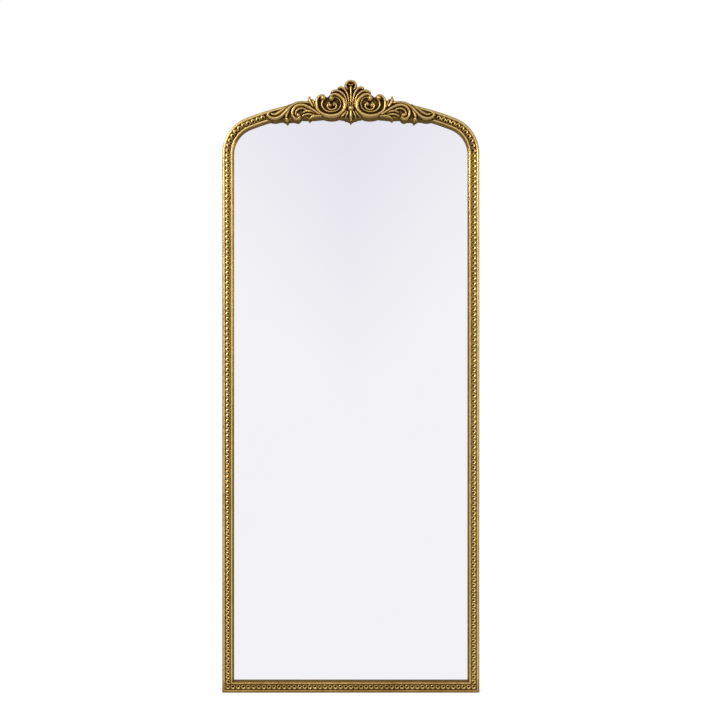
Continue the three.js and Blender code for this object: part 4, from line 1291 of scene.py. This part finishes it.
def add_floor():
    """A pale floor that runs into the white background and keeps the object's shadow."""
    size = 30.0
    corners = np.array([(-size, -size, 0), (size, -size, 0), (size, size, 0), (-size, size, 0)])
    mesh = bpy.data.meshes.new("floor")
    mesh.from_pydata(corners.tolist(), [], [(0, 1, 2, 3)])
    floor = add_object("floor", mesh)
    floor.location = (0, 0, -0.5 * MM)
    material, tree, shader = start_material("pale_floor")
    fill(tree, shader, Base_Color=(0.8, 0.8, 0.8, 1), Roughness=0.9, Specular_IOR_Level=0.0)
    camera, glossy = ray_kinds(tree)
    lift = fill(tree, add_node(tree, "ShaderNodeEmission"), Color=(1, 1, 1, 1), Strength=0.52)
    bright = add_node(tree, "ShaderNodeAddShader")
    tree.links.new(shader.outputs[0], bright.inputs[0])
    tree.links.new(lift.outputs[0], bright.inputs[1])
    lit = mix_shaders(tree, camera, shader.outputs[0], bright.outputs[0])
    # Glossy rays see the room run on below the horizon.
    incoming = add_node(tree, "ShaderNodeNewGeometry").outputs["Incoming"]
    onward = fill(
        tree, add_node(tree, "ShaderNodeVectorMath", operation="SCALE"), Vector=incoming, Scale=-1.0
    )
    room = fill(tree, put_group(tree, room_colour()), Direction=onward.outputs[0])
    reflected = fill(tree, add_node(tree, "ShaderNodeEmission"), Strength=1.0)
    fill(tree, reflected, Color=room.outputs["Colour"])
    surface = mix_shaders(tree, glossy, lit, reflected.outputs[0])
    fill(tree, tree.nodes["Material Output"], Surface=surface)
    mesh.materials.append(material)


# ---- operators
class MIRROR_OT_rails(Operator):
    """Make the stiles, shoulders, bottom rail and arch rail"""

    bl_idname = "gilt_mirror.rails"
    bl_label = "Rails"

    def execute(self, context):
        runs = rail_runs()
        for node in ("bottom_rail", "arch_rail"):
            add_rail(node, runs[node])
        for word, side in SIDES.items():
            for piece in ("stile", "shoulder"):
                add_rail(f"{word}_{piece}", mirrored(runs[piece], side))
        return {"FINISHED"}


class MIRROR_OT_beads(Operator):
    """Make the five bead courses"""

    bl_idname = "gilt_mirror.beads"
    bl_label = "Bead courses"

    def execute(self, context):
        settings = context.scene.mirror_beads
        runs = bead_runs()
        add_bead_course("bottom_bead_course", runs["bottom"], settings)
        for word, side in SIDES.items():
            add_bead_course(f"{word}_bead_course", mirrored(runs["stile"], side), settings)
            bend = mirrored(runs["bend"], side)
            add_bead_course(f"{word}_shoulder_bead_course", bend, settings, SHOULDER_PIT_STRETCH)
        return {"FINISHED"}


class MIRROR_OT_crest(Operator):
    """Carve the crest"""

    bl_idname = "gilt_mirror.crest"
    bl_label = "Crest"

    def execute(self, context):
        add_crest(context.scene.mirror_crest)
        return {"FINISHED"}


class MIRROR_OT_boards(Operator):
    """Finish the glass, the card, the backing board, the blocks and the dowels, and make the cover"""

    bl_idname = "gilt_mirror.boards"
    bl_label = "Glass and boards"

    def execute(self, context):
        finishes = {
            "mirror_glass": silvered_glass,
            "card_sheet": brown_card,
            "backing_board": bare_board,
            "setting_block": black_rubber,
            "dowel": beech,
        }
        for node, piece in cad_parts.items():
            for part, finish in finishes.items():
                if part in node:
                    piece.data.materials.clear()
                    piece.data.materials.append(finish())
        add_rear_cover()
        return {"FINISHED"}


class MIRROR_OT_fittings(Operator):
    """Make the screws, the hangers and the rubber bumpers"""

    bl_idname = "gilt_mirror.fittings"
    bl_label = "Screws, hangers and bumpers"

    def execute(self, context):
        add_screws()
        add_hangers(context.scene.mirror_fittings)
        add_bumpers()
        return {"FINISHED"}


class MIRROR_OT_stage(Operator):
    """Set up the camera, the lamps, the world and the floor"""

    bl_idname = "gilt_mirror.stage"
    bl_label = "Stage"

    def execute(self, context):
        settings = context.scene.mirror_stage
        context.scene.view_settings.view_transform = "Standard"
        add_camera(settings)
        target = (0, 0, 1.0)
        warm, cool = (1.0, 0.98, 0.94), (0.95, 0.97, 1.0)
        add_lamp("key_lamp", (-1.9, -2.3, 2.6), target, 0.9, settings.key_power, warm)
        add_lamp("fill_lamp", (2.4, -1.8, 1.5), target, 1.2, settings.fill_power, cool)
        add_lamp("rear_lamp", (0.6, 2.6, 2.4), target, 1.6, settings.fill_power, cool)
        add_world()
        add_floor()
        return {"FINISHED"}


class MIRROR_PT_panel(Panel):
    """The sidebar panel that lists the steps and their settings"""

    bl_idname = "MIRROR_PT_panel"
    bl_label = "Gilt Mirror"
    bl_space_type = "VIEW_3D"
    bl_region_type = "UI"
    bl_category = "Gilt Mirror"

    def draw(self, context):
        layout = self.layout
        for step, settings in STEPS:
            box = layout.box()
            box.operator(step.bl_idname)
            if settings:
                group = getattr(context.scene, settings)
                for name in group.bl_rna.properties.keys():
                    if name not in {"rna_type", "name"}:
                        box.prop(group, name)


# Each step, in order, with the settings that it reads.
STEPS = [
    (MIRROR_OT_rails, "mirror_gilding"),
    (MIRROR_OT_beads, "mirror_beads"),
    (MIRROR_OT_crest, "mirror_crest"),
    (MIRROR_OT_boards, None),
    (MIRROR_OT_fittings, "mirror_fittings"),
    (MIRROR_OT_stage, "mirror_stage"),
]
SETTINGS = {
    "mirror_gilding": MirrorGilding,
    "mirror_beads": MirrorBeads,
    "mirror_crest": MirrorCrest,
    "mirror_fittings": MirrorFittings,
    "mirror_stage": MirrorStage,
}


def register():
    for name, kind in SETTINGS.items():
        bpy.utils.register_class(kind)
        setattr(bpy.types.Scene, name, PointerProperty(type=kind))
    for step, _ in STEPS:
        bpy.utils.register_class(step)
    bpy.utils.register_class(MIRROR_PT_panel)


def unregister():
    bpy.utils.unregister_class(MIRROR_PT_panel)
    for step, _ in STEPS:
        bpy.utils.unregister_class(step)
    for name, kind in SETTINGS.items():
        delattr(bpy.types.Scene, name)
        bpy.utils.unregister_class(kind)


def main():
    """Runs every step."""
    register()
    for step, _ in STEPS:
        group, name = step.bl_idname.split(".")
        getattr(getattr(bpy.ops, group), name)()


if __name__ == "__main__":
    main()
